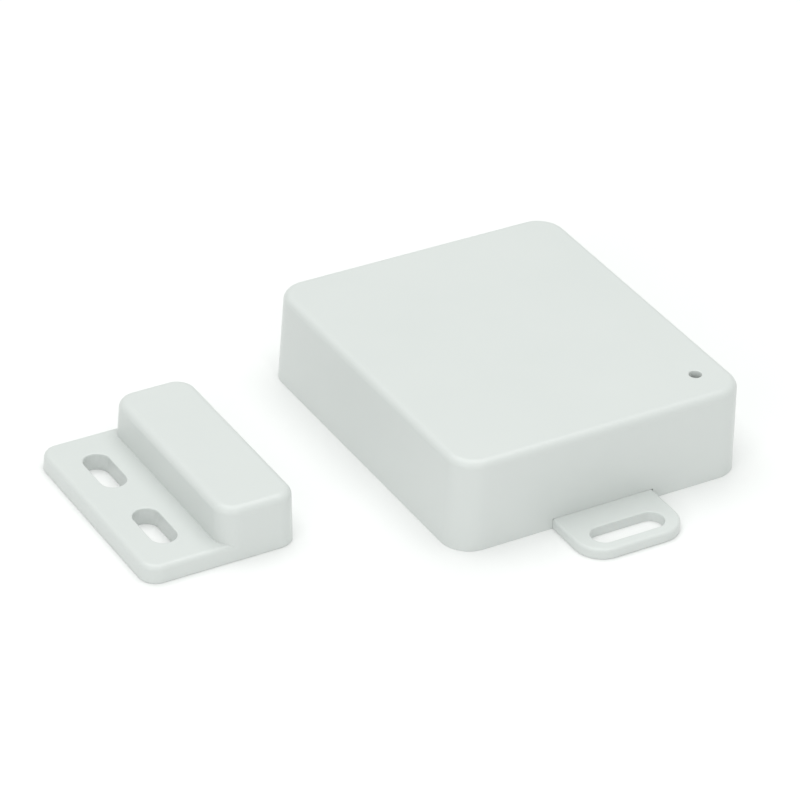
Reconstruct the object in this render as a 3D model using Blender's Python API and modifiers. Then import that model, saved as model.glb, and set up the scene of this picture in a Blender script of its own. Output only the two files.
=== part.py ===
"""Wireless door contact sensor: a sensor unit with a screw ear, and the magnet unit beside it.

The origin is the middle of the sensor unit's underside, and +Z points away from the wall or frame
that both units are screwed to. The magnet unit stands on the -X side, the ear on the -Y side.
Everything is in metres.
"""

import math

import bmesh
import bpy
from mathutils import Vector

# Sensor unit, outside
SENSOR_X, SENSOR_Y, SENSOR_Z = 0.0532, 0.0600, 0.0159
SENSOR_DRAFT = math.radians(1.3)
SENSOR_CORNER = 0.0048
SENSOR_FILLET = 0.0013
WALL = 0.0018
CEILING_FILLET = 0.0006
GAP = 0.0003
LED_X, LED_Y = 0.0205, -0.0230
LED_HOLE_RADIUS = 0.0010

# Screw ear and its slot
EAR_WIDTH, EAR_REACH, EAR_THICK = 0.0185, 0.0111, 0.00175
EAR_CORNER = 0.0046
EAR_FILLET = 0.0005
EAR_SLOT_LENGTH, EAR_SLOT_WIDTH = 0.0130, 0.0042
EAR_SLOT_Y = -0.03695

# Magnet unit
MAGNET_X, MAGNET_Y = -0.0591, 0.0031
CASE_X, CASE_Y = 0.0264, 0.0375
CASE_DRAFT = math.radians(2.1)
FLANGE_Z, FLANGE_CORNER, FLANGE_FILLET = 0.0030, 0.0028, 0.0008
BLOCK_X, BLOCK_Z, BLOCK_CORNER, BLOCK_FILLET = 0.0138, 0.0093, 0.0033, 0.0011
BLOCK_PROUD = 0.00005
FLANGE_SLOT_LENGTH, FLANGE_SLOT_WIDTH = 0.0098, 0.0043
FLANGE_SLOT_X, FLANGE_SLOT_Y = -0.0066, 0.0084
BAR_SIZE = (0.0080, 0.0250, 0.0055)
BAR_LIFT, BAR_CHAMFER = 0.0015, 0.0003
LID_MARGIN, LID_THICK = 0.0014, 0.0010

# Base plate
BASE_THICK = 0.0016
SOCKET_RADIUS, SOCKET_TOP = 0.0033, 0.0032
RECESS_RADIUS, RECESS_DEPTH = 0.0025, 0.0018
STANDOFF_RADIUS = 0.0024
TAB_THICK, TAB_LENGTH, TAB_TOP = 0.0008, 0.0080, 0.0040
SIDE_TAB_Y, BACK_TAB_X = -0.0130, 0.0120

# Cover bosses and screws, (x, y) of each
COVER_SCREWS = ((-0.0212, -0.0244), (0.0136, -0.0244), (0.0212, -0.0002), (-0.0212, -0.0002))
BOSS_RADIUS, BOSS_FOOT = 0.0021, 0.0035
COVER_SCREW_RADIUS, COVER_SCREW_LENGTH = 0.0010, 0.0072
COVER_HEAD_RADIUS, COVER_HEAD = 0.0021, 0.0012
SCREW_RELIEF = 0.0003

# Circuit board
BOARD_X, BOARD_FRONT, BOARD_BACK = 0.0464, -0.0269, 0.0032
BOARD_FOOT, BOARD_THICK = 0.00355, 0.0016
BOARD_TOP = BOARD_FOOT + BOARD_THICK
NOTCH_RADIUS, NOTCH_RUN, NOTCH_CORNER = 0.0026, 0.0072, 0.00257
BOARD_SCREWS = ((-0.0055, -0.0243), (0.0030, 0.0006))
BOARD_SCREW_RADIUS, BOARD_SCREW_LENGTH = 0.0008, 0.0046
BOARD_HEAD_RADIUS, BOARD_HEAD = 0.0018, 0.0012

# Reed switch, lying along Y beside the wall that faces the magnet unit
REED_X, REED_Y, REED_Z = -0.0206, -0.0124, 0.0068
REED_RADIUS, REED_LENGTH = 0.0011, 0.0130
LEAD_RADIUS, LEAD_RUN, LEAD_BEND = 0.00025, 0.0022, 0.0006

# Parts on the board
RADIO_X, RADIO_Y = -0.0100, -0.0170
RADIO_SIZE, SHIELD_SIZE = (0.0150, 0.0105, 0.0008), (0.0100, 0.0088, 0.0019)
CHIP_X, CHIP_Y, CHIP_SIZE = 0.0035, -0.0140, (0.0070, 0.0070, 0.0012)
CRYSTAL_X, CRYSTAL_Y = 0.0035, -0.0058
CRYSTAL_LENGTH, CRYSTAL_WIDTH, CRYSTAL_HIGH = 0.0110, 0.0046, 0.0035
COIL_X, COIL_Y, COIL_RADIUS, COIL_WIRE = -0.0142, -0.0056, 0.0026, 0.00035
COIL_TURNS, COIL_PITCH, COIL_POINTS = 7, 0.0015, 14
CAPACITOR_X, CAPACITOR_Y, CAPACITOR_RADIUS, CAPACITOR_HIGH = 0.0135, -0.0040, 0.00315, 0.0070
TAMPER_X, TAMPER_Y, SWITCH_WIDTH, SWITCH_HIGH = 0.0130, -0.0140, 0.0060, 0.0036
PLUNGER_RADIUS, PLUNGER_TOP, PLUNGER_WELL = 0.0014, 0.0112, 0.0026
LEARN_X, LEARN_Y, LEARN_CAP_HIGH = 0.0196, -0.0136, 0.0012
HEADER_X, HEADER_Y, PIN_PITCH, PIN_WIDTH = 0.0198, -0.0056, 0.00254, 0.00064
HEADER_HIGH, PIN_TOP = 0.0025, 0.0132
LED_SIZE = (0.0020, 0.0014, 0.0008)
COLLAR_THICK = 0.0008

# Batteries, lying along X in the half of the case away from the ear
CELL_RADIUS, CELL_LENGTH, NUB_RADIUS, NUB_LENGTH = 0.00525, 0.0445, 0.0019, 0.0008
CELL_PITCH, CELL_Z = 0.0108, 0.0083
HOLDER_X, HOLDER_FRONT, HOLDER_BACK = 0.0482, 0.0036, 0.0268
HOLDER_WALL, HOLDER_FOOT, HOLDER_TOP = 0.0008, 0.0019, 0.0096
HOLDER_CORNER = 0.0014
CELL_Y = (HOLDER_FRONT + HOLDER_BACK) / 2
CONTACT_THICK, CONTACT_HIGH, CONTACT_WIDTH, LINK_WIDTH = 0.0003, 0.0070, 0.0074, 0.0184
CELL_SHIFT = 0.00045
SPRING_WIRE, SPRING_TURNS, SPRING_POINTS = 0.0002, 2.5, 14
SPRING_WIDE, SPRING_NARROW, SPRING_DEPTH = 0.0034, 0.0018, 0.0007

CURVE_STEPS = 32


def clear_scene():
    for obj in list(bpy.data.objects):
        bpy.data.objects.remove(obj, do_unlink=True)
    for group in list(bpy.data.collections):
        bpy.data.collections.remove(group)


def new_collection(name):
    group = bpy.data.collections.new(name)
    bpy.context.scene.collection.children.link(group)
    return group


def new_material(name, colour, roughness, metallic=0.0, transmission=0.0):
    made = bpy.data.materials.new(name)
    made.use_nodes = True
    shader = made.node_tree.nodes["Principled BSDF"]
    shader.inputs["Base Color"].default_value = (*colour, 1.0)
    shader.inputs["Roughness"].default_value = roughness
    shader.inputs["Metallic"].default_value = metallic
    shader.inputs["Transmission Weight"].default_value = transmission
    made.diffuse_color = (*colour, 1.0)
    return made


clear_scene()
PARTS = new_collection("door_contact_sensor")
CUTTERS = new_collection("cutters")
WHITE_ABS = new_material("white_abs", (0.78, 0.80, 0.785), 0.42)
BLACK_PLASTIC = new_material("black_plastic", (0.02, 0.02, 0.022), 0.5)
BOARD_GREEN = new_material("board_green", (0.02, 0.16, 0.07), 0.4)
STEEL = new_material("zinc_steel", (0.62, 0.63, 0.65), 0.3, metallic=1.0)
COPPER = new_material("tinned_copper", (0.75, 0.52, 0.35), 0.3, metallic=1.0)
CLEAR = new_material("clear_acrylic", (0.9, 0.93, 0.92), 0.05, transmission=1.0)
REED_GLASS = new_material("reed_glass", (0.55, 0.75, 0.62), 0.05, transmission=1.0)
FERRITE = new_material("ferrite", (0.06, 0.06, 0.065), 0.55)
CELL_SLEEVE = new_material("cell_sleeve", (0.05, 0.12, 0.3), 0.35)
RED_PLASTIC = new_material("red_plastic", (0.55, 0.04, 0.03), 0.4)
CAN_SLEEVE = new_material("capacitor_sleeve", (0.03, 0.03, 0.08), 0.35)


def finish(name, obj, material, group=None, smooth=True):
    """Names the object, gives it its material and puts it in its collection."""
    obj.name = obj.data.name = name
    for other in list(obj.users_collection):
        other.objects.unlink(obj)
    (group or PARTS).objects.link(obj)
    obj.data.materials.clear()
    if material:
        obj.data.materials.append(material)
    if smooth and obj.type == "MESH":
        obj.data.shade_smooth()
        obj.data.set_sharp_from_angle(angle=math.radians(35))
    return obj


def object_of(bm, place=(0, 0, 0)):
    """An object that holds the bmesh."""
    mesh = bpy.data.meshes.new("shape")
    bm.normal_update()
    bm.to_mesh(mesh)
    bm.free()
    obj = bpy.data.objects.new("shape", mesh)
    obj.location = place
    bpy.context.scene.collection.objects.link(obj)
    return obj


def box(size, middle, bevel=0.0, steps=2):
    """A box of this size about its middle, with every edge rounded where bevel is set."""
    bm = bmesh.new()
    bmesh.ops.create_cube(bm, size=1.0)
    bmesh.ops.scale(bm, vec=size, verts=bm.verts)
    if bevel:
        bmesh.ops.bevel(bm, geom=bm.edges, offset=bevel, segments=steps, profile=0.5, affect="EDGES")
    return object_of(bm, middle)


def rod(radius, low, high, x, y, steps=CURVE_STEPS):
    """An upright cylinder from height low to height high."""
    bm = bmesh.new()
    bmesh.ops.create_cone(
        bm, cap_ends=True, segments=steps, radius1=radius, radius2=radius, depth=high - low
    )
    return object_of(bm, (x, y, (low + high) / 2))


def drafted_block(size_x, size_y, height, draft, corner, fillet, corner_steps=8, fillet_steps=4):
    """A block on z = 0 whose walls lean in, with round upright corners and a round top edge."""
    bm = bmesh.new()
    bmesh.ops.create_cube(bm, size=2.0)
    lean = height * math.tan(draft)
    for vert in bm.verts:
        top = vert.co.z > 0
        half_x, half_y = size_x / 2 - lean * top, size_y / 2 - lean * top
        vert.co = Vector((vert.co.x * half_x, vert.co.y * half_y, height * top))
    upright = [e for e in bm.edges if abs(e.verts[0].co.z - e.verts[1].co.z) > height / 2]
    bmesh.ops.bevel(
        bm, geom=upright, offset=corner, segments=corner_steps, profile=0.5, affect="EDGES"
    )
    if fillet:
        rim = [e for e in bm.edges if min(v.co.z for v in e.verts) > height * 0.999]
        bmesh.ops.bevel(bm, geom=rim, offset=fillet, segments=fillet_steps, profile=0.5, affect="EDGES")
    return object_of(bm)


def obround(length, width, low, high, x, y, along_y=False):
    """A slot-shaped prism: a box with half-round ends."""
    bm = bmesh.new()
    bmesh.ops.create_cube(bm, size=1.0)
    size = (width, length) if along_y else (length, width)
    bmesh.ops.scale(bm, vec=(*size, high - low), verts=bm.verts)
    upright = [e for e in bm.edges if abs(e.verts[0].co.z - e.verts[1].co.z) > (high - low) / 2]
    bmesh.ops.bevel(bm, geom=upright, offset=width * 0.4999, segments=8, profile=0.5, affect="EDGES")
    return object_of(bm, (x, y, (low + high) / 2))


def boolean(target, tool, operation, name):
    """Cuts or joins the target with a helper object, which moves to the cutters' collection."""
    finish(name, tool, None, CUTTERS, smooth=False)
    tool.hide_render = True
    tool.display_type = "WIRE"
    modifier = target.modifiers.new(name, "BOOLEAN")
    modifier.operation = operation
    modifier.solver = "EXACT"
    modifier.object = tool


def cut(target, tool, name):
    boolean(target, tool, "DIFFERENCE", name)


def join(target, tool, name):
    boolean(target, tool, "UNION", name)


def turned(profile, material, name, steps=CURVE_STEPS):
    """A solid turned about Z from (radius, height) points that run down its outer side."""
    mesh = bpy.data.meshes.new(name)
    bm = bmesh.new()
    verts = [bm.verts.new((radius, 0, height)) for radius, height in profile]
    for first, second in zip(verts, verts[1:]):
        bm.edges.new((first, second))
    bm.to_mesh(mesh)
    bm.free()
    obj = bpy.data.objects.new(name, mesh)
    bpy.context.scene.collection.objects.link(obj)
    screw = obj.modifiers.new("turn", "SCREW")
    screw.steps = screw.render_steps = steps
    screw.use_merge_vertices = True
    screw.merge_threshold = 0.00001
    screw.use_smooth_shade = True
    return finish(name, obj, material)


def wire(points, radius, material, name):
    """A round wire along these points."""
    curve = bpy.data.curves.new(name, "CURVE")
    curve.dimensions = "3D"
    curve.bevel_depth = radius
    curve.bevel_resolution = 2
    curve.use_fill_caps = True
    spline = curve.splines.new("POLY")
    spline.points.add(len(points) - 1)
    for point, place in zip(spline.points, points):
        point.co = (*place, 1)
    obj = bpy.data.objects.new(name, curve)
    bpy.context.scene.collection.objects.link(obj)
    return finish(name, obj, material)


def front_cover():
    """The cover shell: drafted walls down to the mounting face, with bosses for the screws."""
    cover = drafted_block(
        SENSOR_X, SENSOR_Y, SENSOR_Z, SENSOR_DRAFT, SENSOR_CORNER, SENSOR_FILLET, 10, 5
    )
    finish("front_cover", cover, WHITE_ABS)
    ceiling = SENSOR_Z - WALL
    cavity = drafted_block(
        SENSOR_X - 2 * WALL, SENSOR_Y - 2 * WALL, ceiling, SENSOR_DRAFT, SENSOR_CORNER - WALL, CEILING_FILLET
    )
    floor_z = min(v.co.z for v in cavity.data.vertices)
    for vert in cavity.data.vertices:
        if vert.co.z < floor_z + GAP:
            vert.co.z = -WALL
    cut(cover, cavity, "cover_cavity")
    notch_y = -SENSOR_Y / 2 + WALL / 2
    notch = box((EAR_WIDTH + 2 * GAP, 3 * WALL, 2 * (EAR_THICK + GAP)), (0, notch_y, 0))
    cut(cover, notch, "ear_notch")
    for number, (x, y) in enumerate(COVER_SCREWS, 1):
        join(cover, rod(BOSS_RADIUS, BOSS_FOOT, ceiling + WALL / 2, x, y), f"boss_{number}")
        hole_top = COVER_SCREW_LENGTH + RECESS_DEPTH + WALL
        cut(cover, rod(COVER_SCREW_RADIUS + SCREW_RELIEF, 0, hole_top, x, y, 16), f"pilot_{number}")
    rib = rod(PLUNGER_RADIUS, PLUNGER_TOP + GAP, ceiling + WALL / 2, TAMPER_X, TAMPER_Y)
    join(cover, rib, "tamper_rib")
    cut(cover, rod(LED_HOLE_RADIUS, 0, 2 * SENSOR_Z, LED_X, LED_Y, 24), "led_hole")


def base_plate():
    """The plate that carries everything, with the screw ear standing out under the cover's wall."""
    inside = 2 * (WALL + GAP)
    plate = drafted_block(
        SENSOR_X - inside, SENSOR_Y - inside, BASE_THICK, 0, SENSOR_CORNER - WALL - GAP, 0
    )
    finish("base_plate", plate, WHITE_ABS)
    join(plate, ear(), "ear")
    for number, (x, y) in enumerate(COVER_SCREWS, 1):
        join(plate, rod(SOCKET_RADIUS, 0, SOCKET_TOP, x, y), f"socket_{number}")
    for number, (x, y) in enumerate(BOARD_SCREWS, 1):
        join(plate, rod(STANDOFF_RADIUS, 0, SOCKET_TOP, x, y), f"standoff_{number}")
    edge_x = SENSOR_X / 2 - WALL - GAP - TAB_THICK / 2
    edge_y = SENSOR_Y / 2 - WALL - GAP - TAB_THICK / 2
    tabs = [(side * edge_x, SIDE_TAB_Y, TAB_THICK, TAB_LENGTH) for side in (-1, 1)]
    tabs += [(side * BACK_TAB_X, edge_y, TAB_LENGTH, TAB_THICK) for side in (-1, 1)]
    for number, (x, y, size_x, size_y) in enumerate(tabs, 1):
        tab = box((size_x, size_y, TAB_TOP), (x, y, TAB_TOP / 2))
        join(plate, tab, f"tab_{number}")
    for number, (x, y) in enumerate(COVER_SCREWS, 1):
        cut(plate, rod(RECESS_RADIUS, -WALL, RECESS_DEPTH, x, y), f"recess_{number}")
        through = rod(COVER_SCREW_RADIUS + SCREW_RELIEF, -WALL, 2 * SOCKET_TOP, x, y, 16)
        cut(plate, through, f"through_{number}")
    for number, (x, y) in enumerate(BOARD_SCREWS, 1):
        pilot = rod(BOARD_SCREW_RADIUS + SCREW_RELIEF, WALL / 4, 2 * SOCKET_TOP, x, y, 16)
        cut(plate, pilot, f"board_pilot_{number}")
    slot = obround(EAR_SLOT_LENGTH, EAR_SLOT_WIDTH, -WALL, 2 * WALL, 0, EAR_SLOT_Y)
    cut(plate, slot, "ear_slot")


def ear():
    """The ear's solid: two round outer corners and a soft top edge, run back into the plate."""
    tip = -SENSOR_Y / 2 - EAR_REACH
    root = -SENSOR_Y / 2 + 3 * WALL
    bm = bmesh.new()
    bmesh.ops.create_cube(bm, size=2.0)
    for vert in bm.verts:
        y = tip if vert.co.y < 0 else root
        vert.co = Vector((vert.co.x * EAR_WIDTH / 2, y, EAR_THICK if vert.co.z > 0 else 0))
    outer = [e for e in bm.edges if all(v.co.y < tip + GAP for v in e.verts)]
    outer = [e for e in outer if abs(e.verts[0].co.z - e.verts[1].co.z) > EAR_THICK / 2]
    bmesh.ops.bevel(bm, geom=outer, offset=EAR_CORNER, segments=8, profile=0.5, affect="EDGES")
    rim = [e for e in bm.edges if min(v.co.z for v in e.verts) > EAR_THICK * 0.999]
    rim = [e for e in rim if min(v.co.y for v in e.verts) < root - GAP]
    bmesh.ops.bevel(bm, geom=rim, offset=EAR_FILLET, segments=3, profile=0.5, affect="EDGES")
    return object_of(bm)


def screws():
    """Pan-head screws: the cover's go in from behind, the board's from in front."""
    for number, (x, y) in enumerate(COVER_SCREWS, 1):
        top = RECESS_DEPTH - SCREW_RELIEF + COVER_SCREW_LENGTH
        under = RECESS_DEPTH - SCREW_RELIEF
        profile = [
            (0, top), (COVER_SCREW_RADIUS, top - COVER_SCREW_RADIUS), (COVER_SCREW_RADIUS, under),
            (COVER_HEAD_RADIUS, under), (COVER_HEAD_RADIUS, under - COVER_HEAD * 0.6),
            (COVER_HEAD_RADIUS * 0.7, under - COVER_HEAD), (0, under - COVER_HEAD),
        ]
        screw = turned(profile, STEEL, f"cover_screw_{number}", 20)
        screw.location = (x, y, 0)
    for number, (x, y) in enumerate(BOARD_SCREWS, 1):
        seat = BOARD_TOP + SCREW_RELIEF
        profile = [
            (0, seat + BOARD_HEAD), (BOARD_HEAD_RADIUS * 0.7, seat + BOARD_HEAD),
            (BOARD_HEAD_RADIUS, seat + BOARD_HEAD * 0.4), (BOARD_HEAD_RADIUS, seat),
            (BOARD_SCREW_RADIUS, seat), (BOARD_SCREW_RADIUS, seat - BOARD_SCREW_LENGTH * 0.8),
            (0, seat - BOARD_SCREW_LENGTH),
        ]
        screw = turned(profile, STEEL, f"board_screw_{number}", 20)
        screw.location = (x, y, 0)


def circuit_board():
    middle_y = (BOARD_FRONT + BOARD_BACK) / 2
    board = box(
        (BOARD_X, BOARD_BACK - BOARD_FRONT, BOARD_THICK), (0, middle_y, BOARD_FOOT + BOARD_THICK / 2)
    )
    finish("circuit_board", board, BOARD_GREEN)
    for number, (x, y) in enumerate(COVER_SCREWS, 1):
        to_side = math.copysign(abs(x) > BOARD_X / 2 - 2 * NOTCH_RADIUS, x)
        to_end = math.copysign(1, y - middle_y)
        size = (2 * NOTCH_RADIUS + abs(to_side) * NOTCH_RUN, 2 * NOTCH_RADIUS + NOTCH_RUN)
        notch = drafted_block(*size, 2 * BOARD_TOP, 0, NOTCH_CORNER, 0, 6)
        notch.location = (x + to_side * NOTCH_RUN / 2, y + to_end * NOTCH_RUN / 2, 0)
        cut(board, notch, f"boss_notch_{number}")
    for number, (x, y) in enumerate(BOARD_SCREWS, 1):
        hole = rod(BOARD_SCREW_RADIUS + SCREW_RELIEF, 0, 2 * BOARD_TOP, x, y, 16)
        cut(board, hole, f"board_hole_{number}")


def on_board(size, x, y, name, material, bevel=0.0, lift=GAP):
    """A box that stands on the circuit board."""
    made = box(size, (x, y, BOARD_TOP + lift + size[2] / 2), bevel)
    return finish(name, made, material)


def indicator():
    """The LED on the board, and the light guide that the cover holds over it."""
    on_board(LED_SIZE, LED_X, LED_Y, "status_led", RED_PLASTIC, 0.0001)
    ceiling = SENSOR_Z - WALL
    stem, collar = LED_HOLE_RADIUS - GAP / 2, 2 * LED_HOLE_RADIUS
    foot = BOARD_TOP + LED_SIZE[2] + 3 * GAP
    profile = [
        (0, ceiling + WALL * 0.3), (stem, ceiling + WALL * 0.2), (stem, ceiling - GAP),
        (collar, ceiling - GAP), (collar, ceiling - GAP - COLLAR_THICK),
        (stem, ceiling - GAP - COLLAR_THICK),
        (stem, foot), (0, foot),
    ]
    guide = turned(profile, CLEAR, "led_light_guide", 20)
    guide.location = (LED_X, LED_Y, 0)


def reed_switch():
    """A glass capsule with a lead bent down to the board at each end."""
    half = REED_LENGTH / 2
    profile = [
        (0, half), (REED_RADIUS * 0.5, half - REED_RADIUS * 0.25),
        (REED_RADIUS * 0.87, half - REED_RADIUS * 0.8),
        (REED_RADIUS, half - REED_RADIUS * 1.6), (REED_RADIUS, REED_RADIUS * 1.6 - half),
        (REED_RADIUS * 0.87, REED_RADIUS * 0.8 - half), (REED_RADIUS * 0.5, REED_RADIUS * 0.25 - half),
        (0, -half),
    ]
    glass = turned(profile, REED_GLASS, "reed_switch_glass", 20)
    glass.rotation_euler = (math.radians(90), 0, 0)
    glass.location = (REED_X, REED_Y, REED_Z)
    foot = BOARD_TOP + GAP / 2
    for name, side in (("reed_lead_front", -1), ("reed_lead_back", 1)):
        start, turn_y = REED_Y + side * (half + GAP), REED_Y + side * (half + LEAD_RUN)
        bend = [
            (REED_X, turn_y - side * LEAD_BEND * (1 - math.sin(a)), REED_Z - LEAD_BEND * (1 - math.cos(a)))
            for a in (math.radians(15 * step) for step in range(7))
        ]
        wire([(REED_X, start, REED_Z), *bend, (REED_X, turn_y, foot)], LEAD_RADIUS, STEEL, name)


def antenna():
    """The helical antenna: turns about X, with one end led down to the board."""
    centre_z = BOARD_TOP + 2 * GAP + COIL_RADIUS + COIL_WIRE
    points = []
    for step in range(COIL_TURNS * COIL_POINTS + 1):
        angle = 2 * math.pi * step / COIL_POINTS
        x = COIL_X + COIL_PITCH * step / COIL_POINTS
        points.append(
            (x, COIL_Y + COIL_RADIUS * math.sin(angle), centre_z + COIL_RADIUS * math.cos(angle))
        )
    side = COIL_Y + COIL_RADIUS
    last_x = points[-1][0]
    leg = [(last_x + COIL_PITCH * 0.5, COIL_Y + COIL_RADIUS * 0.9, centre_z + COIL_RADIUS * 0.6)]
    leg += [(last_x + COIL_PITCH * 0.8, side, centre_z - COIL_RADIUS * 0.2)]
    leg += [(last_x + COIL_PITCH * 0.8, side, BOARD_TOP + GAP / 2)]
    wire(points + leg, COIL_WIRE, COPPER, "antenna_coil")


def electronics():
    """The rest of the parts on the board."""
    on_board(RADIO_SIZE, RADIO_X, RADIO_Y, "radio_module_board", BOARD_GREEN)
    on_board(
        SHIELD_SIZE, RADIO_X, RADIO_Y, "radio_shield_can", STEEL, 0.0003, 2 * GAP + RADIO_SIZE[2]
    )
    on_board(CHIP_SIZE, CHIP_X, CHIP_Y, "microcontroller", BLACK_PLASTIC, 0.0001)
    crystal = obround(
        CRYSTAL_LENGTH, CRYSTAL_WIDTH, BOARD_TOP + GAP, BOARD_TOP + GAP + CRYSTAL_HIGH, CRYSTAL_X, CRYSTAL_Y
    )
    finish("timing_crystal", crystal, STEEL)
    top, foot = BOARD_TOP + GAP + CAPACITOR_HIGH, BOARD_TOP + GAP
    profile = [
        (0, top), (CAPACITOR_RADIUS * 0.88, top), (CAPACITOR_RADIUS, top - CAPACITOR_RADIUS * 0.12),
        (CAPACITOR_RADIUS, foot), (0, foot),
    ]
    capacitor = turned(profile, CAN_SLEEVE, "storage_capacitor")
    capacitor.location = (CAPACITOR_X, CAPACITOR_Y, 0)


def switches():
    """The tamper switch that the cover presses, and the learn button beside it."""
    size = (SWITCH_WIDTH, SWITCH_WIDTH, SWITCH_HIGH)
    tamper = on_board(size, TAMPER_X, TAMPER_Y, "tamper_switch_body", BLACK_PLASTIC)
    top = BOARD_TOP + GAP + SWITCH_HIGH
    well = rod(PLUNGER_RADIUS + GAP, top - PLUNGER_WELL, 2 * top, TAMPER_X, TAMPER_Y)
    cut(tamper, well, "tamper_well")
    plunger_foot = top - PLUNGER_WELL + GAP
    profile = [
        (0, PLUNGER_TOP), (PLUNGER_RADIUS * 0.7, PLUNGER_TOP), (PLUNGER_RADIUS, PLUNGER_TOP - GAP),
        (PLUNGER_RADIUS, plunger_foot), (0, plunger_foot),
    ]
    plunger = turned(profile, RED_PLASTIC, "tamper_plunger", 24)
    plunger.location = (TAMPER_X, TAMPER_Y, 0)
    learn = on_board(size, LEARN_X, LEARN_Y, "learn_button_body", BLACK_PLASTIC)
    cut(learn, rod(PLUNGER_RADIUS + GAP, top - PLUNGER_WELL, 2 * top, LEARN_X, LEARN_Y), "learn_well")
    cap_top, cap_foot = top + LEARN_CAP_HIGH, top - PLUNGER_WELL / 2
    profile = [
        (0, cap_top), (PLUNGER_RADIUS - GAP / 2, cap_top), (PLUNGER_RADIUS, cap_top - GAP / 2),
        (PLUNGER_RADIUS, cap_foot), (0, cap_foot),
    ]
    cap = turned(profile, WHITE_ABS, "learn_button_cap", 24)
    cap.location = (LEARN_X, LEARN_Y, 0)


def jumper():
    """A two-pin header with its jumper cap."""
    foot = BOARD_TOP + GAP
    header = box(
        (2 * PIN_PITCH, PIN_PITCH, HEADER_HIGH), (HEADER_X, HEADER_Y, foot + HEADER_HIGH / 2)
    )
    finish("jumper_header", header, BLACK_PLASTIC)
    cap_foot, cap_top = foot + HEADER_HIGH + GAP, PIN_TOP + 2 * GAP
    cap = box(
        (2 * PIN_PITCH, PIN_PITCH, cap_top - cap_foot), (HEADER_X, HEADER_Y, (cap_foot + cap_top) / 2)
    )
    finish("jumper_cap", cap, RED_PLASTIC)
    for number, side in enumerate((-1, 1), 1):
        x = HEADER_X + side * PIN_PITCH / 2
        pin_foot = foot + HEADER_HIGH / 2
        pin = box((PIN_WIDTH, PIN_WIDTH, PIN_TOP - pin_foot), (x, HEADER_Y, (PIN_TOP + pin_foot) / 2))
        join(header, pin, f"pin_{number}")
        socket_high = PIN_TOP + GAP - cap_foot + WALL
        socket = box(
            (PIN_WIDTH + GAP, PIN_WIDTH + GAP, socket_high),
            (x, HEADER_Y, PIN_TOP + GAP - socket_high / 2),
        )
        cut(cap, socket, f"pin_socket_{number}")


def battery_holder():
    size = (HOLDER_X, HOLDER_BACK - HOLDER_FRONT, HOLDER_TOP - HOLDER_FOOT)
    holder = drafted_block(*size, 0, HOLDER_CORNER, 0, 4)
    holder.location = (0, CELL_Y, HOLDER_FOOT)
    finish("battery_holder", holder, BLACK_PLASTIC)
    inside = (size[0] - 2 * HOLDER_WALL, size[1] - 2 * HOLDER_WALL, size[2])
    cut(holder, box(inside, (0, CELL_Y, HOLDER_FOOT + HOLDER_WALL + size[2] / 2)), "cell_bay")


def batteries():
    """Two cells laid opposite ways, with a contact at each end."""
    body = CELL_LENGTH - NUB_LENGTH
    foot = -CELL_LENGTH / 2
    profile = [
        (0, foot + CELL_LENGTH), (NUB_RADIUS, foot + CELL_LENGTH), (NUB_RADIUS, foot + body),
        (CELL_RADIUS - GAP, foot + body), (CELL_RADIUS, foot + body - GAP),
        (CELL_RADIUS, foot + GAP), (CELL_RADIUS - GAP, foot), (0, foot),
    ]
    end_x = HOLDER_X / 2 - HOLDER_WALL - CONTACT_THICK
    for number, side in ((1, 1), (2, -1)):
        y = CELL_Y - side * CELL_PITCH / 2
        cell = turned(profile, CELL_SLEEVE, f"battery_{number}")
        cell.rotation_euler = (0, side * math.radians(90), 0)
        cell.location = (side * CELL_SHIFT, y, CELL_Z)
        spring = []
        for step in range(int(SPRING_TURNS * SPRING_POINTS) + 1):
            share = step / (SPRING_TURNS * SPRING_POINTS)
            angle = 2 * math.pi * SPRING_TURNS * share
            radius = SPRING_WIDE + (SPRING_NARROW - SPRING_WIDE) * share
            x = -side * (end_x - SPRING_WIRE - GAP / 3 - SPRING_DEPTH * share)
            spring.append((x, y + radius * math.cos(angle), CELL_Z + radius * math.sin(angle)))
        wire(spring, SPRING_WIRE, STEEL, f"battery_spring_{number}")
    size = (CONTACT_THICK, CONTACT_WIDTH, CONTACT_HIGH)
    contact_x = end_x + CONTACT_THICK / 2 - GAP / 3
    for number, side in ((1, -1), (2, 1)):
        terminal = box(size, (contact_x, CELL_Y + side * CELL_PITCH / 2, CELL_Z - GAP))
        finish(f"battery_terminal_{number}", terminal, STEEL)
    link = box((CONTACT_THICK, LINK_WIDTH, CONTACT_HIGH), (-contact_x, CELL_Y, CELL_Z - GAP))
    finish("battery_link_strip", link, STEEL)


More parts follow.
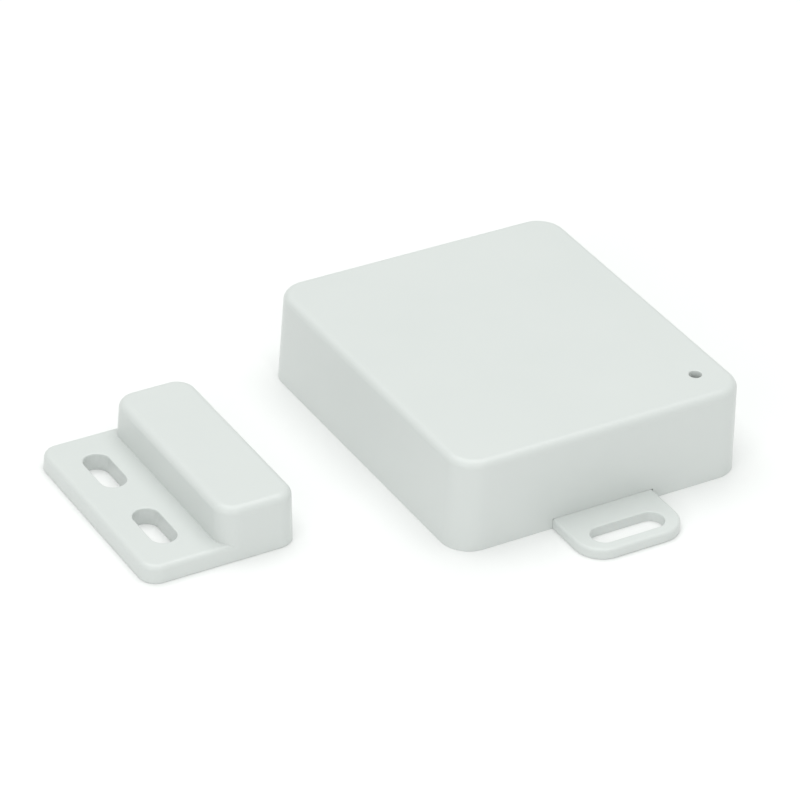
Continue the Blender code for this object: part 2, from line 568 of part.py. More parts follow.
def magnet_unit():
    """The stepped case, the bar magnet in its pocket and the lid pressed into the back."""
    flange_x = CASE_X - BLOCK_X / 2
    case = drafted_block(
        flange_x, CASE_Y, FLANGE_Z, CASE_DRAFT, FLANGE_CORNER, FLANGE_FILLET, 8, 4
    )
    case.location = (MAGNET_X - CASE_X / 2 + flange_x / 2, MAGNET_Y, 0)
    finish("magnet_housing", case, WHITE_ABS)
    block = drafted_block(
        BLOCK_X, CASE_Y + 2 * BLOCK_PROUD, BLOCK_Z, CASE_DRAFT, BLOCK_CORNER, BLOCK_FILLET, 8, 4
    )
    block_x = MAGNET_X + CASE_X / 2 - BLOCK_X / 2
    block.location = (block_x, MAGNET_Y, 0)
    join(case, block, "magnet_block")
    for number, side in enumerate((-1, 1), 1):
        slot = obround(
            FLANGE_SLOT_LENGTH, FLANGE_SLOT_WIDTH, -WALL, 2 * FLANGE_Z,
            MAGNET_X + FLANGE_SLOT_X, MAGNET_Y + side * FLANGE_SLOT_Y, along_y=True,
        )
        cut(case, slot, f"flange_slot_{number}")
    pocket = (BAR_SIZE[0] + 2 * GAP, BAR_SIZE[1] + 2 * GAP)
    pocket_top = BAR_LIFT + BAR_SIZE[2] + GAP
    cut(case, box((*pocket, 2 * pocket_top), (block_x, MAGNET_Y, 0)), "bar_pocket")
    lid = (BAR_SIZE[0] + 2 * LID_MARGIN, BAR_SIZE[1] + 2 * LID_MARGIN)
    seat = (lid[0] + 2 * GAP, lid[1] + 2 * GAP, 2 * (LID_THICK + GAP))
    cut(case, box(seat, (block_x, MAGNET_Y, 0)), "lid_seat")
    bar = box(BAR_SIZE, (block_x, MAGNET_Y, BAR_LIFT + BAR_SIZE[2] / 2), BAR_CHAMFER, 1)
    finish("bar_magnet", bar, FERRITE)
    plate = box((*lid, LID_THICK), (block_x, MAGNET_Y, LID_THICK / 2))
    finish("magnet_back_cover", plate, WHITE_ABS)


front_cover()
base_plate()
screws()
circuit_board()
indicator()
reed_switch()
antenna()
electronics()
switches()
jumper()
battery_holder()
batteries()
magnet_unit()
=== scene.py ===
"""The looks of a wireless door contact: a sensor unit with a screw ear, and its magnet unit.

Sizes and places are in millimetres unless a name or a comment says otherwise. block, turned, wire and the
other modelling functions take them to metres.
"""

import math
from contextlib import contextmanager

import bmesh
import bpy
from mathutils import Matrix, Vector


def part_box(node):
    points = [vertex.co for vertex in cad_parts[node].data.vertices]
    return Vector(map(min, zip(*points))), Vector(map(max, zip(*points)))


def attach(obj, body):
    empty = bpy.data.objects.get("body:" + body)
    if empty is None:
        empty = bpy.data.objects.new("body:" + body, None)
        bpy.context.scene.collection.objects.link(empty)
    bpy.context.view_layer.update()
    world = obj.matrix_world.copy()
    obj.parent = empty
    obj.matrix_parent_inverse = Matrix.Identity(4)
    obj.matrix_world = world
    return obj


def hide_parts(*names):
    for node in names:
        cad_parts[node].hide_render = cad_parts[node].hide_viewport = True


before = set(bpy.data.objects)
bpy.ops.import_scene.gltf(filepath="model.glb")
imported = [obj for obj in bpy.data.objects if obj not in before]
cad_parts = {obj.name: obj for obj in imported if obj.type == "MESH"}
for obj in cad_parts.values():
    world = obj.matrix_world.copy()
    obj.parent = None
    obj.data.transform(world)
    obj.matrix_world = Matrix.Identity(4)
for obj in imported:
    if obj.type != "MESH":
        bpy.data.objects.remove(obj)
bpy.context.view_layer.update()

MM = 0.001
NEAR, MERGE = 0.02, 0.002
FLAT = 0.9  # a face or edge lies along an axis when this much of it does

# Bodies
BASE, COVER, MAGNET = "sensor_base", "cover", "magnet_unit"

# Sensor unit's mouldings
WALL, GAP = 1.8, 0.3
COVER_DRAFT, COVER_CORNER, COVER_RIM = math.radians(1.3), 4.8, 1.3
LED_HOLE, LED_LIP = 1.0, 0.22
PLATE_THICK = 1.6
EAR_WIDTH, EAR_THICK, EAR_RUN = 18.5, 1.75, 20.0
EAR_CORNER, EAR_RIM, EAR_FOOT = 4.6, 0.55, 0.15
EAR_SLOT, EAR_SLOT_Y, EAR_SLOT_LIP = (13.0, 4.2), -36.95, 0.2
NOTCH_GAP = 0.03
SOCKET_RADIUS, SOCKET_TOP, SOCKET_EDGE = 3.3, 3.2, 0.2
STANDOFF_RADIUS, STANDOFF_FLARE = 2.4, 0.5
SCREW_HOLE, RECESS_RADIUS, RECESS_DEPTH, RECESS_EDGE = 1.3, 2.5, 1.8, 0.15
PILOT_HOLE, PILOT_FOOT = 1.1, 0.45
BOSS_RADIUS, BOSS_FOOT, BOSS_BORE, BOSS_FLARE, RIB_FLARE = 2.1, 3.5, 7.5, 0.5, 0.4
TAB_LONG, TAB_THICK, TAB_FOOT, TAB_TOP, TAB_RIM = 8.0, 0.8, 0.3, 4.0, 0.25
SIDE_TAB_Y, BACK_TAB_X = -13.0, 12.0

# Magnet unit's mouldings
CASE_DRAFT = math.radians(2.1)
FLANGE_TOP, FLANGE_CORNER, FLANGE_RIM = 3.0, 2.8, 0.9
BLOCK_WIDTH, BLOCK_CORNER, BLOCK_RIM = 13.8, 3.3, 1.3
FLUSH, FOOT = 0.02, 0.12
FLANGE_SLOT, FLANGE_SLOT_LIP = (4.3, 9.8), 0.25
FLANGE_SLOT_PLACES = ((-65.7, -5.3), (-65.7, 11.5))
NICK_HALF, NICK_DEEP, NICK_TALL = 1.5, 0.6, 0.5

# Board and the parts on it
THROUGH = 10.0  # past the board on either side
NOTCH_RADIUS, NOTCH_RUN = 2.6, 7.2
EMBED, SOLDER_RISE = 0.01, 0.04
PAD_PITCH, VENT_PITCH = 1.27, 2.2
CHIP_LEG_PITCH, CHIP_LEGS = 0.8, 8
SMALL_HALF_LENGTH, SMALL_HALF_WIDTH, FILLET_SHARE = 0.8, 0.4, 0.6
WELL_RADIUS, WELL_DEPTH = 1.7, 2.6
COIL_TURNS, COIL_PITCH, COIL_WIRE, COIL_STEPS = 7, 1.5, 0.35, 36
LEAD_BEND = 0.6
OUTLINE_WIDTH = 0.12
OUTLINED = {
    "microcontroller": -0.35, "timing_crystal": 0.25, "antenna_coil": 0.3, "jumper_header": 0.35,
    "tamper_switch_body": 0.12, "status_led": 0.45,
}

# Places on the board: x, y and, where it matters, a turn in degrees
RESISTOR_PLACES = (
    (0.4, -20.6, 90), (2.4, -20.6, 90), (4.4, -20.6, 90), (17.4, -21.6, 0), (-16.2, -24.6, 0),
    (-12.4, -24.6, 0), (-15.8, -10.1, 0), (-12.2, -10.1, 0), (10.2, -19.4, 0), (-9.4, 0.8, 0),
)
CAPACITOR_PLACES = (
    (6.4, -20.6, 90), (-8.6, -10.1, 0), (-5.0, -10.1, 0), (7.0, -23.6, 0), (-13.4, 0.8, 0), (11.2, 1.3, 0),
)
TRANSISTOR_PLACES = ((3.0, -24.4, 90), (17.0, -9.0, 90))
TEST_PADS = (
    (-2.0, -26.0), (0.2, -26.0), (9.0, -26.0), (-17.0, -21.6), (-17.0, 1.6), (7.6, 1.4), (19.6, -19.2),
    (22.0, -19.2),
)

# Batteries and screws
HOLDER_WALL, HOLDER_CORNER, HOLDER_EDGE, CRADLE_TALL = 0.8, 1.4, 0.068, 3.6
DIP_HALF, DIP_DEEP = 8.0, 3.0
NUB_LENGTH, NUB_RADIUS, CELL_PITCH = 0.8, 1.9, 10.8
SPRING_WIRE, SPRING_TURNS, SPRING_WIDE, SPRING_NARROW, SPRING_STEPS = 0.2, 2.5, 3.4, 1.8, 90
SCREW_HEAD, SCREW_POINT = 1.2, 0.7

# Camera
CAMERA_PLACE, CAMERA_AIM = Vector((-309.5, -467.2, 365.9)), Vector((-16.03, 5.62, 4.97))
CAMERA_ROLL, CAMERA_LENS = math.radians(2.883), 187.1

# Lamps: name, place and width in metres, watts
LAMPS = (
    ("overhead", (0.0, 0.1, 0.9), 1.0, 5.5),
    ("from_left", (-0.8, -0.5, 0.5), 0.5, 1.0),
    ("from_front", (-0.25, -0.9, 0.35), 0.6, 0.65),
    ("left_spark", (-0.80, -0.33, 0.365), 0.08, 0.3),
    ("front_spark", (-0.077, -0.661, 0.654), 0.08, 0.3),
)


# ---- modelling by hand


def deselect():
    if bpy.context.mode != "OBJECT":
        bpy.ops.object.mode_set(mode="OBJECT")
    bpy.ops.object.select_all(action="DESELECT")


def activate(obj):
    deselect()
    obj.select_set(True)
    bpy.context.view_layer.objects.active = obj


def settle(obj):
    """Puts the object's place, turn and size into its mesh."""
    activate(obj)
    bpy.ops.object.transform_apply(location=True, rotation=True, scale=True)
    return obj


def named(name):
    obj = bpy.context.object
    obj.name = obj.data.name = name
    return obj


def metres(place):
    """A place, (x, y) or (x, y, z), as a point in metres."""
    return Vector((*place, 0)[:3]) * MM


def box(node):
    """A node's two corners."""
    low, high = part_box(node)
    return low / MM, high / MM


def middle_of(node):
    low, high = box(node)
    return (low + high) / 2


def sunk(place, depth):
    return Vector(place) - Vector((0, 0, depth))


@contextmanager
def editing(obj, kind="FACE", everything=False):
    """Edit mode for the length of a with block."""
    activate(obj)
    bpy.ops.object.mode_set(mode="EDIT")
    bpy.ops.mesh.select_mode(type=kind)
    bpy.ops.mesh.select_all(action="SELECT" if everything else "DESELECT")
    yield
    bpy.ops.object.mode_set(mode="OBJECT")


def choose(obj, kind, test):
    """In edit mode, selects only the faces, edges or verts that pass the test."""
    bpy.ops.mesh.select_mode(type=kind[:-1].upper())
    bpy.ops.mesh.select_all(action="DESELECT")
    shape = bmesh.from_edit_mesh(obj.data)
    shape.normal_update()
    for item in [item for item in getattr(shape, kind) if test(item)]:
        item.select_set(True)
    bmesh.update_edit_mesh(obj.data)


def extrude(x, y, z):
    bpy.ops.mesh.extrude_region_move(TRANSFORM_OT_translate={"value": metres((x, y, z))})


def resize(across, along, centre):
    """Resizes what is selected in X and Y about a point."""
    bpy.ops.transform.resize(value=(across, along, 1), center_override=metres(centre))


def round_edges(obj, test, width, steps):
    choose(obj, "edges", test)
    bpy.ops.mesh.bevel(offset=width * MM, segments=steps, profile=0.5, affect="EDGES")


def upright(edge):
    """True for an edge that climbs nearly straight up."""
    first, second = (vert.co for vert in edge.verts)
    return abs(first.z - second.z) > FLAT * (first - second).length


def at_height(item, z):
    return all(abs(vert.co.z / MM - z) < NEAR for vert in item.verts)


def faces_up(face):
    return face.normal.z > FLAT


def block(name, low, high, corner=(0, 1), rim=(0, 1), foot=0, lean=0):
    """An upright block whose walls lean in, with round corners and round top and bottom edges.

    corner and rim each give a width and a number of steps.
    """
    low, high = Vector(low), Vector(high)
    middle, size = (low + high) / 2, high - low
    deselect()
    bpy.ops.mesh.primitive_cube_add(size=1, location=metres(middle))
    obj = named(name)
    obj.scale = size * MM
    settle(obj)
    with editing(obj):
        if lean:
            choose(obj, "faces", faces_up)
            resize(1 - 2 * lean / size.x, 1 - 2 * lean / size.y, middle)
        for (width, steps), test in (
            (corner, upright),
            (rim, lambda edge: at_height(edge, high.z)),
            ((foot, 2), lambda edge: at_height(edge, low.z)),
        ):
            if width:
                round_edges(obj, test, width, steps)
    return obj


def turned(name, profile, place=(0, 0), steps=40, turn=(0, 0, 0)):
    """A turned piece: a disc drawn up and resized from one (radius, height) to the next."""
    deselect()
    radius, height = profile[0]
    bpy.ops.mesh.primitive_circle_add(
        vertices=steps, radius=radius * MM, fill_type="NGON", location=metres((0, 0, height))
    )
    obj = settle(named(name))
    with editing(obj, everything=True):
        for next_radius, next_height in profile[1:]:
            extrude(0, 0, next_height - height)
            resize(next_radius / radius, next_radius / radius, (0, 0, next_height))
            radius, height = next_radius, next_height
        bpy.ops.mesh.select_all(action="SELECT")
        bpy.ops.mesh.normals_make_consistent(inside=False)
    obj.rotation_euler = turn
    obj.location = metres(place)
    return settle(obj)


def rod(radius, low, high, place=(0, 0), steps=24, turn=(0, 0, 0)):
    """A plain round rod, mostly to cut with."""
    return turned("rod", [(radius, low), (radius, high)], place, steps, turn)


def hollow(obj, wall, depth):
    """Insets the flat underside by the wall and pushes it up."""
    with editing(obj):
        choose(obj, "faces", lambda face: face.normal.z < -FLAT)
        bpy.ops.mesh.inset(thickness=wall * MM, use_even_offset=True)
        extrude(0, 0, depth)
    return obj


def modify(obj, kind, **settings):
    """Puts a modifier on the object and applies it."""
    modifier = obj.modifiers.new(kind.lower(), kind)
    for label, value in settings.items():
        setattr(modifier, label, value)
    activate(obj)
    bpy.ops.object.modifier_apply(modifier=modifier.name)
    return obj


def soften(obj, width, steps):
    """Rounds the sharp edges."""
    return modify(
        obj, "BEVEL", width=width * MM, segments=steps, limit_method="ANGLE", angle_limit=math.radians(40)
    )


def carve(obj, *tools, operation="DIFFERENCE"):
    """Cuts each tool out of the object, or joins it on, and takes the tool away."""
    for tool in tools:
        modify(obj, "BOOLEAN", operation=operation, solver="EXACT", object=tool)
        bpy.data.objects.remove(tool)
    return obj


def join_on(obj, tool):
    """Joins the tool on, and takes out the hair-thin faces that the join leaves."""
    carve(obj, tool, operation="UNION")
    with editing(obj, "VERT", everything=True):
        bpy.ops.mesh.remove_doubles(threshold=MERGE * MM)
        bpy.ops.mesh.dissolve_degenerate(threshold=MERGE * MM)
    return obj


def merge(name, parts):
    """Makes several meshes one piece."""
    activate(parts[0])
    for part in parts:
        part.select_set(True)
    if len(parts) > 1:
        bpy.ops.object.join()
    return named(name)


def copied(obj, x, y, turn=0):
    """A copy with its own mesh, turned by some degrees about the origin and moved."""
    activate(obj)
    bpy.ops.object.duplicate(linked=False)
    twin = bpy.context.object
    twin.location = metres((x, y))
    twin.rotation_euler.z = math.radians(turn)
    return settle(twin)


def repeated(name, first, places):
    """One piece made of copies of the first, each (x, y) or (x, y, turn) from the origin."""
    copies = [copied(first, *place) for place in places]
    bpy.data.objects.remove(first)
    return merge(name, copies)


def drilled(obj, tool, places):
    """Cuts the same tool out at each place, all in one go."""
    return carve(obj, repeated("drill", tool, places))


def round_ended(name, low, high, steps, rises):
    """A slot-shaped solid: its top face is drawn up by each rise and grown all round by each amount."""
    low, high = Vector(low), Vector(high)
    size, middle = high - low, (low + high) / 2
    obj = block(name, low, high, (min(size.x, size.y) * 0.4995, steps))
    with editing(obj):
        choose(obj, "faces", faces_up)
        for rise, grow in rises:
            extrude(0, 0, rise)
            resize(1 + 2 * grow / size.x, 1 + 2 * grow / size.y, middle)
            size += Vector((2 * grow, 2 * grow, 0))
    return obj


def quarter_round(radius, steps, side):
    """The rises and growths along a quarter circle that closes in (side 1) or flares out (side -1)."""
    angles = [math.radians(90 * step / steps) for step in range(steps + 1)]
    return [
        (radius * (math.sin(b) - math.sin(a)), side * radius * (math.cos(b) - math.cos(a)))
        for a, b in zip(angles, angles[1:])
    ]


def slot_tool(size, top, place, lip, steps):
    """A cutter for a slot: round ends, and a lip that flares out as a quarter round at the top."""
    (x, y), (half_x, half_y) = place, (size[0] / 2, size[1] / 2)
    return round_ended(
        "slot_tool", (x - half_x, y - half_y, -2), (x + half_x, y + half_y, top - lip), steps,
        [*quarter_round(lip, 4, -1), (1, 0)],
    )


def strip(name, low, high, moves):
    """A flat strip that starts as a block and is drawn on from its +X end, move by move."""
    obj = block(name, low, high)
    with editing(obj):
        choose(obj, "faces", lambda face: face.normal.x > FLAT)
        for move in moves:
            extrude(*move)
    return obj


def wire(name, points, radius):
    """A round wire bent along these points, made a closed mesh."""
    deselect()
    route = bpy.data.curves.new(name, "CURVE")
    route.dimensions = "3D"
    route.bevel_depth, route.bevel_resolution = radius * MM, 3
    route.use_fill_caps = True
    spline = route.splines.new("POLY")
    spline.points.add(len(points) - 1)
    for point, place in zip(spline.points, points):
        point.co = (*metres(place), 1.0)
    obj = bpy.data.objects.new(name, route)
    bpy.context.scene.collection.objects.link(obj)
    activate(obj)
    bpy.ops.object.convert(target="MESH")
    with editing(obj, "VERT", everything=True):
        bpy.ops.mesh.remove_doubles(threshold=MERGE / 2 * MM)
        bpy.ops.mesh.normals_make_consistent(inside=False)
    return obj


def pressed_plate(name, low, high):
    """A thin plate across X, with round corners and eased edges."""
    plate = block(name, low, high)
    with editing(plate):
        round_edges(plate, lambda edge: abs((edge.verts[0].co - edge.verts[1].co).x) > NEAR * MM, 0.9, 6)
    return soften(plate, 0.04, 1)


def finish(obj, body, slot, material, *nodes, angle=32):
    """Shades the piece, gives it its material and hangs it on its body."""
    activate(obj)
    bpy.ops.object.shade_smooth_by_angle(angle=math.radians(angle))
    modify(obj, "WEIGHTED_NORMAL", keep_sharp=True)
    obj.data.materials.clear()
    obj.data.materials.append(material)
    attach(obj, body)
    if nodes:
        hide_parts(*nodes)


# ---- shader nodes


def shader_node(tree, kind, inputs, operation=None):
    """A new node, each of whose inputs takes a value or another node's socket."""
    node = tree.nodes.new(f"ShaderNode{kind}")
    if operation:
        node.operation = operation
    for label, value in inputs.items():
        if isinstance(value, bpy.types.NodeSocket):
            tree.links.new(value, node.inputs[label])
        else:
            node.inputs[label].default_value = value
    return node


def object_place(tree):
    return shader_node(tree, "TexCoord", {}).outputs["Object"]


def separated(tree, vector, axis):
    return shader_node(tree, "SeparateXYZ", {"Vector": vector}).outputs[axis]


def noise(tree, scale, detail, roughness, vector):
    sockets = {"Scale": scale, "Detail": detail, "Roughness": roughness, "Vector": vector}
    return shader_node(tree, "TexNoise", sockets).outputs["Fac"]


def spread(tree, value, low, high, to_low=0.0, to_high=1.0):
    """Maps a value's range onto another."""
    sockets = {"Value": value, "From Min": low, "From Max": high, "To Min": to_low, "To Max": to_high}
    return shader_node(tree, "MapRange", sockets).outputs["Result"]


def arithmetic(tree, operation, first, second):
    return shader_node(tree, "Math", {0: first, 1: second}, operation).outputs["Value"]


def band(tree, value, low, high, blur=0.03, unit=MM):
    """A mask that is 1 between two places along an axis."""
    rise = spread(tree, value, (low - blur) * unit, (low + blur) * unit)
    fall = spread(tree, value, (high - blur) * unit, (high + blur) * unit, 1.0, 0.0)
    return arithmetic(tree, "MULTIPLY", rise, fall)


def mixed(tree, share, first, second):
    """A colour between two, each a colour or a socket, by a share that varies."""
    node = tree.nodes.new("ShaderNodeMix")
    node.data_type = "RGBA"
    tree.links.new(share, node.inputs["Factor"])
    for socket, value in ((node.inputs[6], first), (node.inputs[7], second)):
        if isinstance(value, tuple):
            socket.default_value = (*value, 1.0)
        else:
            tree.links.new(value, socket)
    return node.outputs[2]


def painted(tree, shader, mask, colour):
    """Lays another colour over the base colour where the mask is high."""
    before = shader.inputs["Base Color"].links[0].from_socket
    tree.links.new(mixed(tree, mask, before, colour), shader.inputs["Base Color"])


def node_group(name, numbers, results):
    """A node group that takes a place and some numbers and gives masks or heights."""
    group = bpy.data.node_groups.new(name, "ShaderNodeTree")
    group.interface.new_socket("Vector", in_out="INPUT", socket_type="NodeSocketVector")
    for label, value in numbers.items():
        socket = group.interface.new_socket(label, in_out="INPUT", socket_type="NodeSocketFloat")
        socket.default_value = value
    for label in results:
        group.interface.new_socket(label, in_out="OUTPUT", socket_type="NodeSocketFloat")
    return group, group.nodes.new("NodeGroupInput").outputs, group.nodes.new("NodeGroupOutput").inputs


def make_grain_group():
    """Spark-eroded mould grain: a fine pebbled height and a soft mottling mask."""
    group, given, result = node_group("mould_grain", {"Scale": 2600.0}, ("Height", "Mottle"))
    place, scale = given["Vector"], given["Scale"]
    pebbles = {"Vector": place, "Scale": arithmetic(group, "MULTIPLY", scale, 0.55)}
    pebble = shader_node(group, "TexVoronoi", pebbles).outputs["Distance"]
    both = arithmetic(group, "ADD", noise(group, scale, 3.0, 0.6, place), pebble)
    group.links.new(both, result["Height"])
    mottle = spread(group, noise(group, 60.0, 4.0, 0.55, place), 0.3, 0.7)
    group.links.new(mottle, result["Mottle"])
    return group


def make_wear_group():
    """Edge wear: a mask that is high on sharp convex edges and broken up by noise."""
    group, given, result = node_group("edge_wear", {"Radius": 0.3 * MM}, ("Mask",))
    rounded = shader_node(group, "Bevel", {"Radius": given["Radius"]})
    rounded.samples = 4
    normals = (rounded.outputs["Normal"], shader_node(group, "NewGeometry", {}).outputs["Normal"])
    turn = shader_node(group, "VectorMath", dict(enumerate(normals)), "DOT_PRODUCT")
    edge = spread(group, turn.outputs["Value"], 1.0, 0.85)
    patchy = spread(group, noise(group, 900.0, 3.0, 0.6, given["Vector"]), 0.35, 0.7)
    group.links.new(arithmetic(group, "MULTIPLY", edge, patchy), result["Mask"])
    return group


def make_handling_group():
    """Handling: broad smudges and a few fine scuffs, as a change of roughness."""
    group, given, result = node_group("handling", {}, ("Change",))
    stretch = {"Vector": given["Vector"], "Rotation": (0.3, 0.2, 0.7), "Scale": (1.0, 30.0, 30.0)}
    stretched = shader_node(group, "Mapping", stretch).outputs["Vector"]
    fine = spread(group, noise(group, 45.0, 2.0, 0.5, stretched), 0.55, 0.8, 0.0, 0.12)
    broad = spread(group, noise(group, 35.0, 3.0, 0.6, given["Vector"]), 0.3, 0.7, -0.5, 0.5)
    group.links.new(arithmetic(group, "ADD", broad, fine), result["Change"])
    return group


def make_tracks_group():
    """Copper tracks under the mask: parallel runs that change direction from patch to patch."""
    group, given, result = node_group("tracks", {}, ("Mask",))
    cells = {0: given["Vector"], 1: (3.3 * MM, 3.3 * MM, 1.0)}
    patch = shader_node(group, "VectorMath", cells, "SNAP").outputs["Vector"]
    chance = shader_node(group, "TexWhiteNoise", {"Vector": patch}).outputs["Value"]
    runs = []
    for axis, low, high in (("X", 0.0, 0.4), ("Y", 0.4, 0.85)):
        wave = arithmetic(group, "PINGPONG", separated(group, given["Vector"], axis), 0.33 * MM)
        line = spread(group, wave, 0.09 * MM, 0.12 * MM, 1.0, 0.0)
        share = band(group, chance, low, high, 0.001, unit=1)
        runs.append(arithmetic(group, "MULTIPLY", line, share))
    group.links.new(arithmetic(group, "ADD", *runs), result["Mask"])
    return group


GRAIN, WEAR, HANDLING, TRACKS = (
    make_grain_group(), make_wear_group(), make_handling_group(), make_tracks_group()
)


def placed_group(tree, group, vector, **values):
    node = tree.nodes.new("ShaderNodeGroup")
    node.node_tree = group
    tree.links.new(vector, node.inputs["Vector"])
    for label, value in values.items():
        node.inputs[label].default_value = value
    return node.outputs


# ---- materials


def surface(
    name, colour, mottle, edge, roughness, swing=0.08, metallic=0.0, grain=2600.0, relief=0.05, depth=0.02,
    wear=0.5, wear_radius=0.3, coat=0.0,
):
    """A moulded, sawn, printed or plated surface. It returns the material, its tree and its shader."""
    material = bpy.data.materials.new(name)
    material.use_nodes = True
    tree = material.node_tree
    shader = tree.nodes["Principled BSDF"]
    shader.inputs["Metallic"].default_value = metallic
    shader.inputs["Coat Weight"].default_value = coat
    place = object_place(tree)
    pebbles = placed_group(tree, GRAIN, place, Scale=grain)
    worn = placed_group(tree, WEAR, place, Radius=wear_radius * MM)["Mask"]
    touched = placed_group(tree, HANDLING, place)["Change"]
    body = mixed(tree, pebbles["Mottle"], colour, mottle)
    worn_share = arithmetic(tree, "MULTIPLY", worn, wear)
    tree.links.new(mixed(tree, worn_share, body, edge), shader.inputs["Base Color"])
    change = spread(tree, touched, -0.5, 0.8, roughness - swing / 2, roughness + swing / 2)
    tree.links.new(change, shader.inputs["Roughness"])
    bump = {"Strength": relief, "Distance": depth * MM, "Height": pebbles["Height"]}
    tree.links.new(shader_node(tree, "Bump", bump).outputs["Normal"], shader.inputs["Normal"])
    return material, tree, shader


def printed_board(name, mask_colour, track_colour):
    """Solder mask over glass laminate, with tracks that show through on the flat sides."""
    darker = tuple(0.85 * part for part in mask_colour)
    material, tree, shader = surface(
        name, mask_colour, darker, (0.30, 0.34, 0.16), 0.32, swing=0.12, grain=5200.0, wear=0.4,
        wear_radius=0.1,
    )
    painted(tree, shader, placed_group(tree, TRACKS, object_place(tree))["Mask"], track_colour)
    upward = separated(tree, shader_node(tree, "NewGeometry", {}).outputs["Normal"], "Z")
    edge = spread(tree, arithmetic(tree, "ABSOLUTE", upward, 0.0), 0.4, 0.6, 1.0, 0.0)
    painted(tree, shader, edge, (0.42, 0.38, 0.17))
    return material


def cell_sleeve(number, side):
    """A printed film sleeve: a bare silver band at one end and a coloured body."""
    material, tree, shader = surface(
        f"cell_film_{number}", (0.018, 0.05, 0.15), (0.022, 0.06, 0.17), (0.25, 0.28, 0.33), 0.26,
        swing=0.12, grain=3000.0, relief=0.03, depth=0.01, wear=0.6, wear_radius=0.15, coat=0.3,
    )
    place = separated(tree, object_place(tree), "X")
    end = box(f"battery_{number}")[side > 0].x
    start = end - side * 12.0
    for span in ((start, end), (start - side * 1.2, start - side * 0.4)):
        painted(tree, shader, band(tree, place, *sorted(span)), (0.52, 0.54, 0.56))
    return material


def can_sleeve(name, node):
    """A shrunk sleeve with a pale stripe down the side of the negative leg."""
    material, tree, shader = surface(
        name, (0.012, 0.014, 0.03), (0.016, 0.018, 0.04), (0.12, 0.12, 0.14), 0.3, swing=0.1, relief=0.04,
        wear=0.4, wear_radius=0.15, coat=0.2,
    )
    low, _ = box(node)
    stripe = band(tree, separated(tree, object_place(tree), "Y"), low.y - 1, low.y + 0.55)
    painted(tree, shader, stripe, (0.42, 0.44, 0.48))
    return material


def metal(name, colour, roughness, **more):
    dull = tuple(0.86 * part for part in colour)
    bright = tuple(min(1.0, 1.12 * part) for part in colour)
    values = {"swing": 0.16, "metallic": 1.0, "grain": 3600.0, "relief": 0.06, "depth": 0.01}
    values |= {"wear": 0.6, "wear_radius": 0.12, **more}
    return surface(name, colour, dull, bright, roughness, **values)[0]


def moulded(name, colour, roughness, **more):
    lighter = tuple(1.15 * part + 0.004 for part in colour)
    edge = tuple(1.4 * part + 0.03 for part in colour)
    values = {"grain": 2800.0, "relief": 0.12, "depth": 0.03, "wear_radius": 0.15, **more}
    return surface(name, colour, lighter, edge, roughness, **values)[0]


def clear(name, colour, ior):
    """A clear moulding or glass, faintly uneven."""
    material, _, shader = surface(
        name, colour, tuple(0.97 * part for part in colour), colour, 0.06, swing=0.04, grain=900.0,
        relief=0.02, depth=0.01, wear=0.0,
    )
    shader.inputs["Transmission Weight"].default_value = 1.0
    shader.inputs["IOR"].default_value = ior
    return material


ABS_WHITE = surface(
    "moulded_white_abs", (0.652, 0.678, 0.666), (0.664, 0.688, 0.676), (0.70, 0.722, 0.714), 0.30,
    swing=0.05, grain=2400.0, relief=0.06, depth=0.03, wear=0.35,
)[0]
PRINTED_BOARD = printed_board("green_solder_mask", (0.012, 0.115, 0.042), (0.022, 0.20, 0.075))
RADIO_BOARD = printed_board("dark_solder_mask", (0.008, 0.05, 0.10), (0.014, 0.09, 0.17))
TINNED = metal("tinned_copper", (0.66, 0.66, 0.65), 0.34)
ZINC = metal("zinc_plated_steel", (0.60, 0.62, 0.66), 0.32)
NICKEL = metal("nickel_plate", (0.66, 0.64, 0.60), 0.26)
SHIELD_METAL = metal("tin_plated_shield", (0.58, 0.59, 0.60), 0.38)
SPRING_STEEL = metal("spring_wire", (0.56, 0.56, 0.58), 0.28)
ALUMINIUM = metal("brushed_aluminium", (0.72, 0.73, 0.74), 0.4)
COPPER = metal("lacquered_copper", (0.72, 0.33, 0.17), 0.26, coat=0.4)
BLACK_PLASTIC = moulded("black_moulded_plastic", (0.022, 0.022, 0.024), 0.48)
CHIP_BLACK = moulded("moulded_chip_resin", (0.018, 0.018, 0.019), 0.6)
RED_PLASTIC = moulded("red_moulded_plastic", (0.42, 0.022, 0.016), 0.38)
RESISTOR_BLACK = moulded("resistor_glaze", (0.02, 0.02, 0.025), 0.3)
CERAMIC_TAN = moulded("ceramic_tan", (0.36, 0.24, 0.13), 0.45)
BOARD_INK = moulded("board_ink", (0.66, 0.68, 0.64), 0.55)
LAMP_WHITE = moulded("lamp_white", (0.72, 0.71, 0.66), 0.5)
LAMP_RED = moulded("lamp_red", (0.55, 0.03, 0.02), 0.16, coat=0.5)
FERRITE = moulded("sintered_ferrite", (0.045, 0.045, 0.048), 0.55, relief=0.3, depth=0.05)
CLEAR = clear("clear_acrylic", (0.90, 0.95, 0.92), 1.49)
REED_GLASS = clear("green_tinted_glass", (0.62, 0.82, 0.70), 1.47)
CAN_SLEEVE = can_sleeve("can_sleeve", "storage_capacitor")
CELL_SIDES = {1: 1, 2: -1}  # the cells lie opposite ways along X
CELL_SLEEVES = {number: cell_sleeve(number, side) for number, side in CELL_SIDES.items()}


# ---- sensor unit's mouldings


def screw_places(name, count):
    """The middles of the numbered screws, read from the frame."""
    return [middle_of(f"{name}_{number}").xy for number in range(1, count + 1)]


COVER_SCREWS, BOARD_SCREWS = screw_places("cover_screw", 4), screw_places("board_screw", 2)


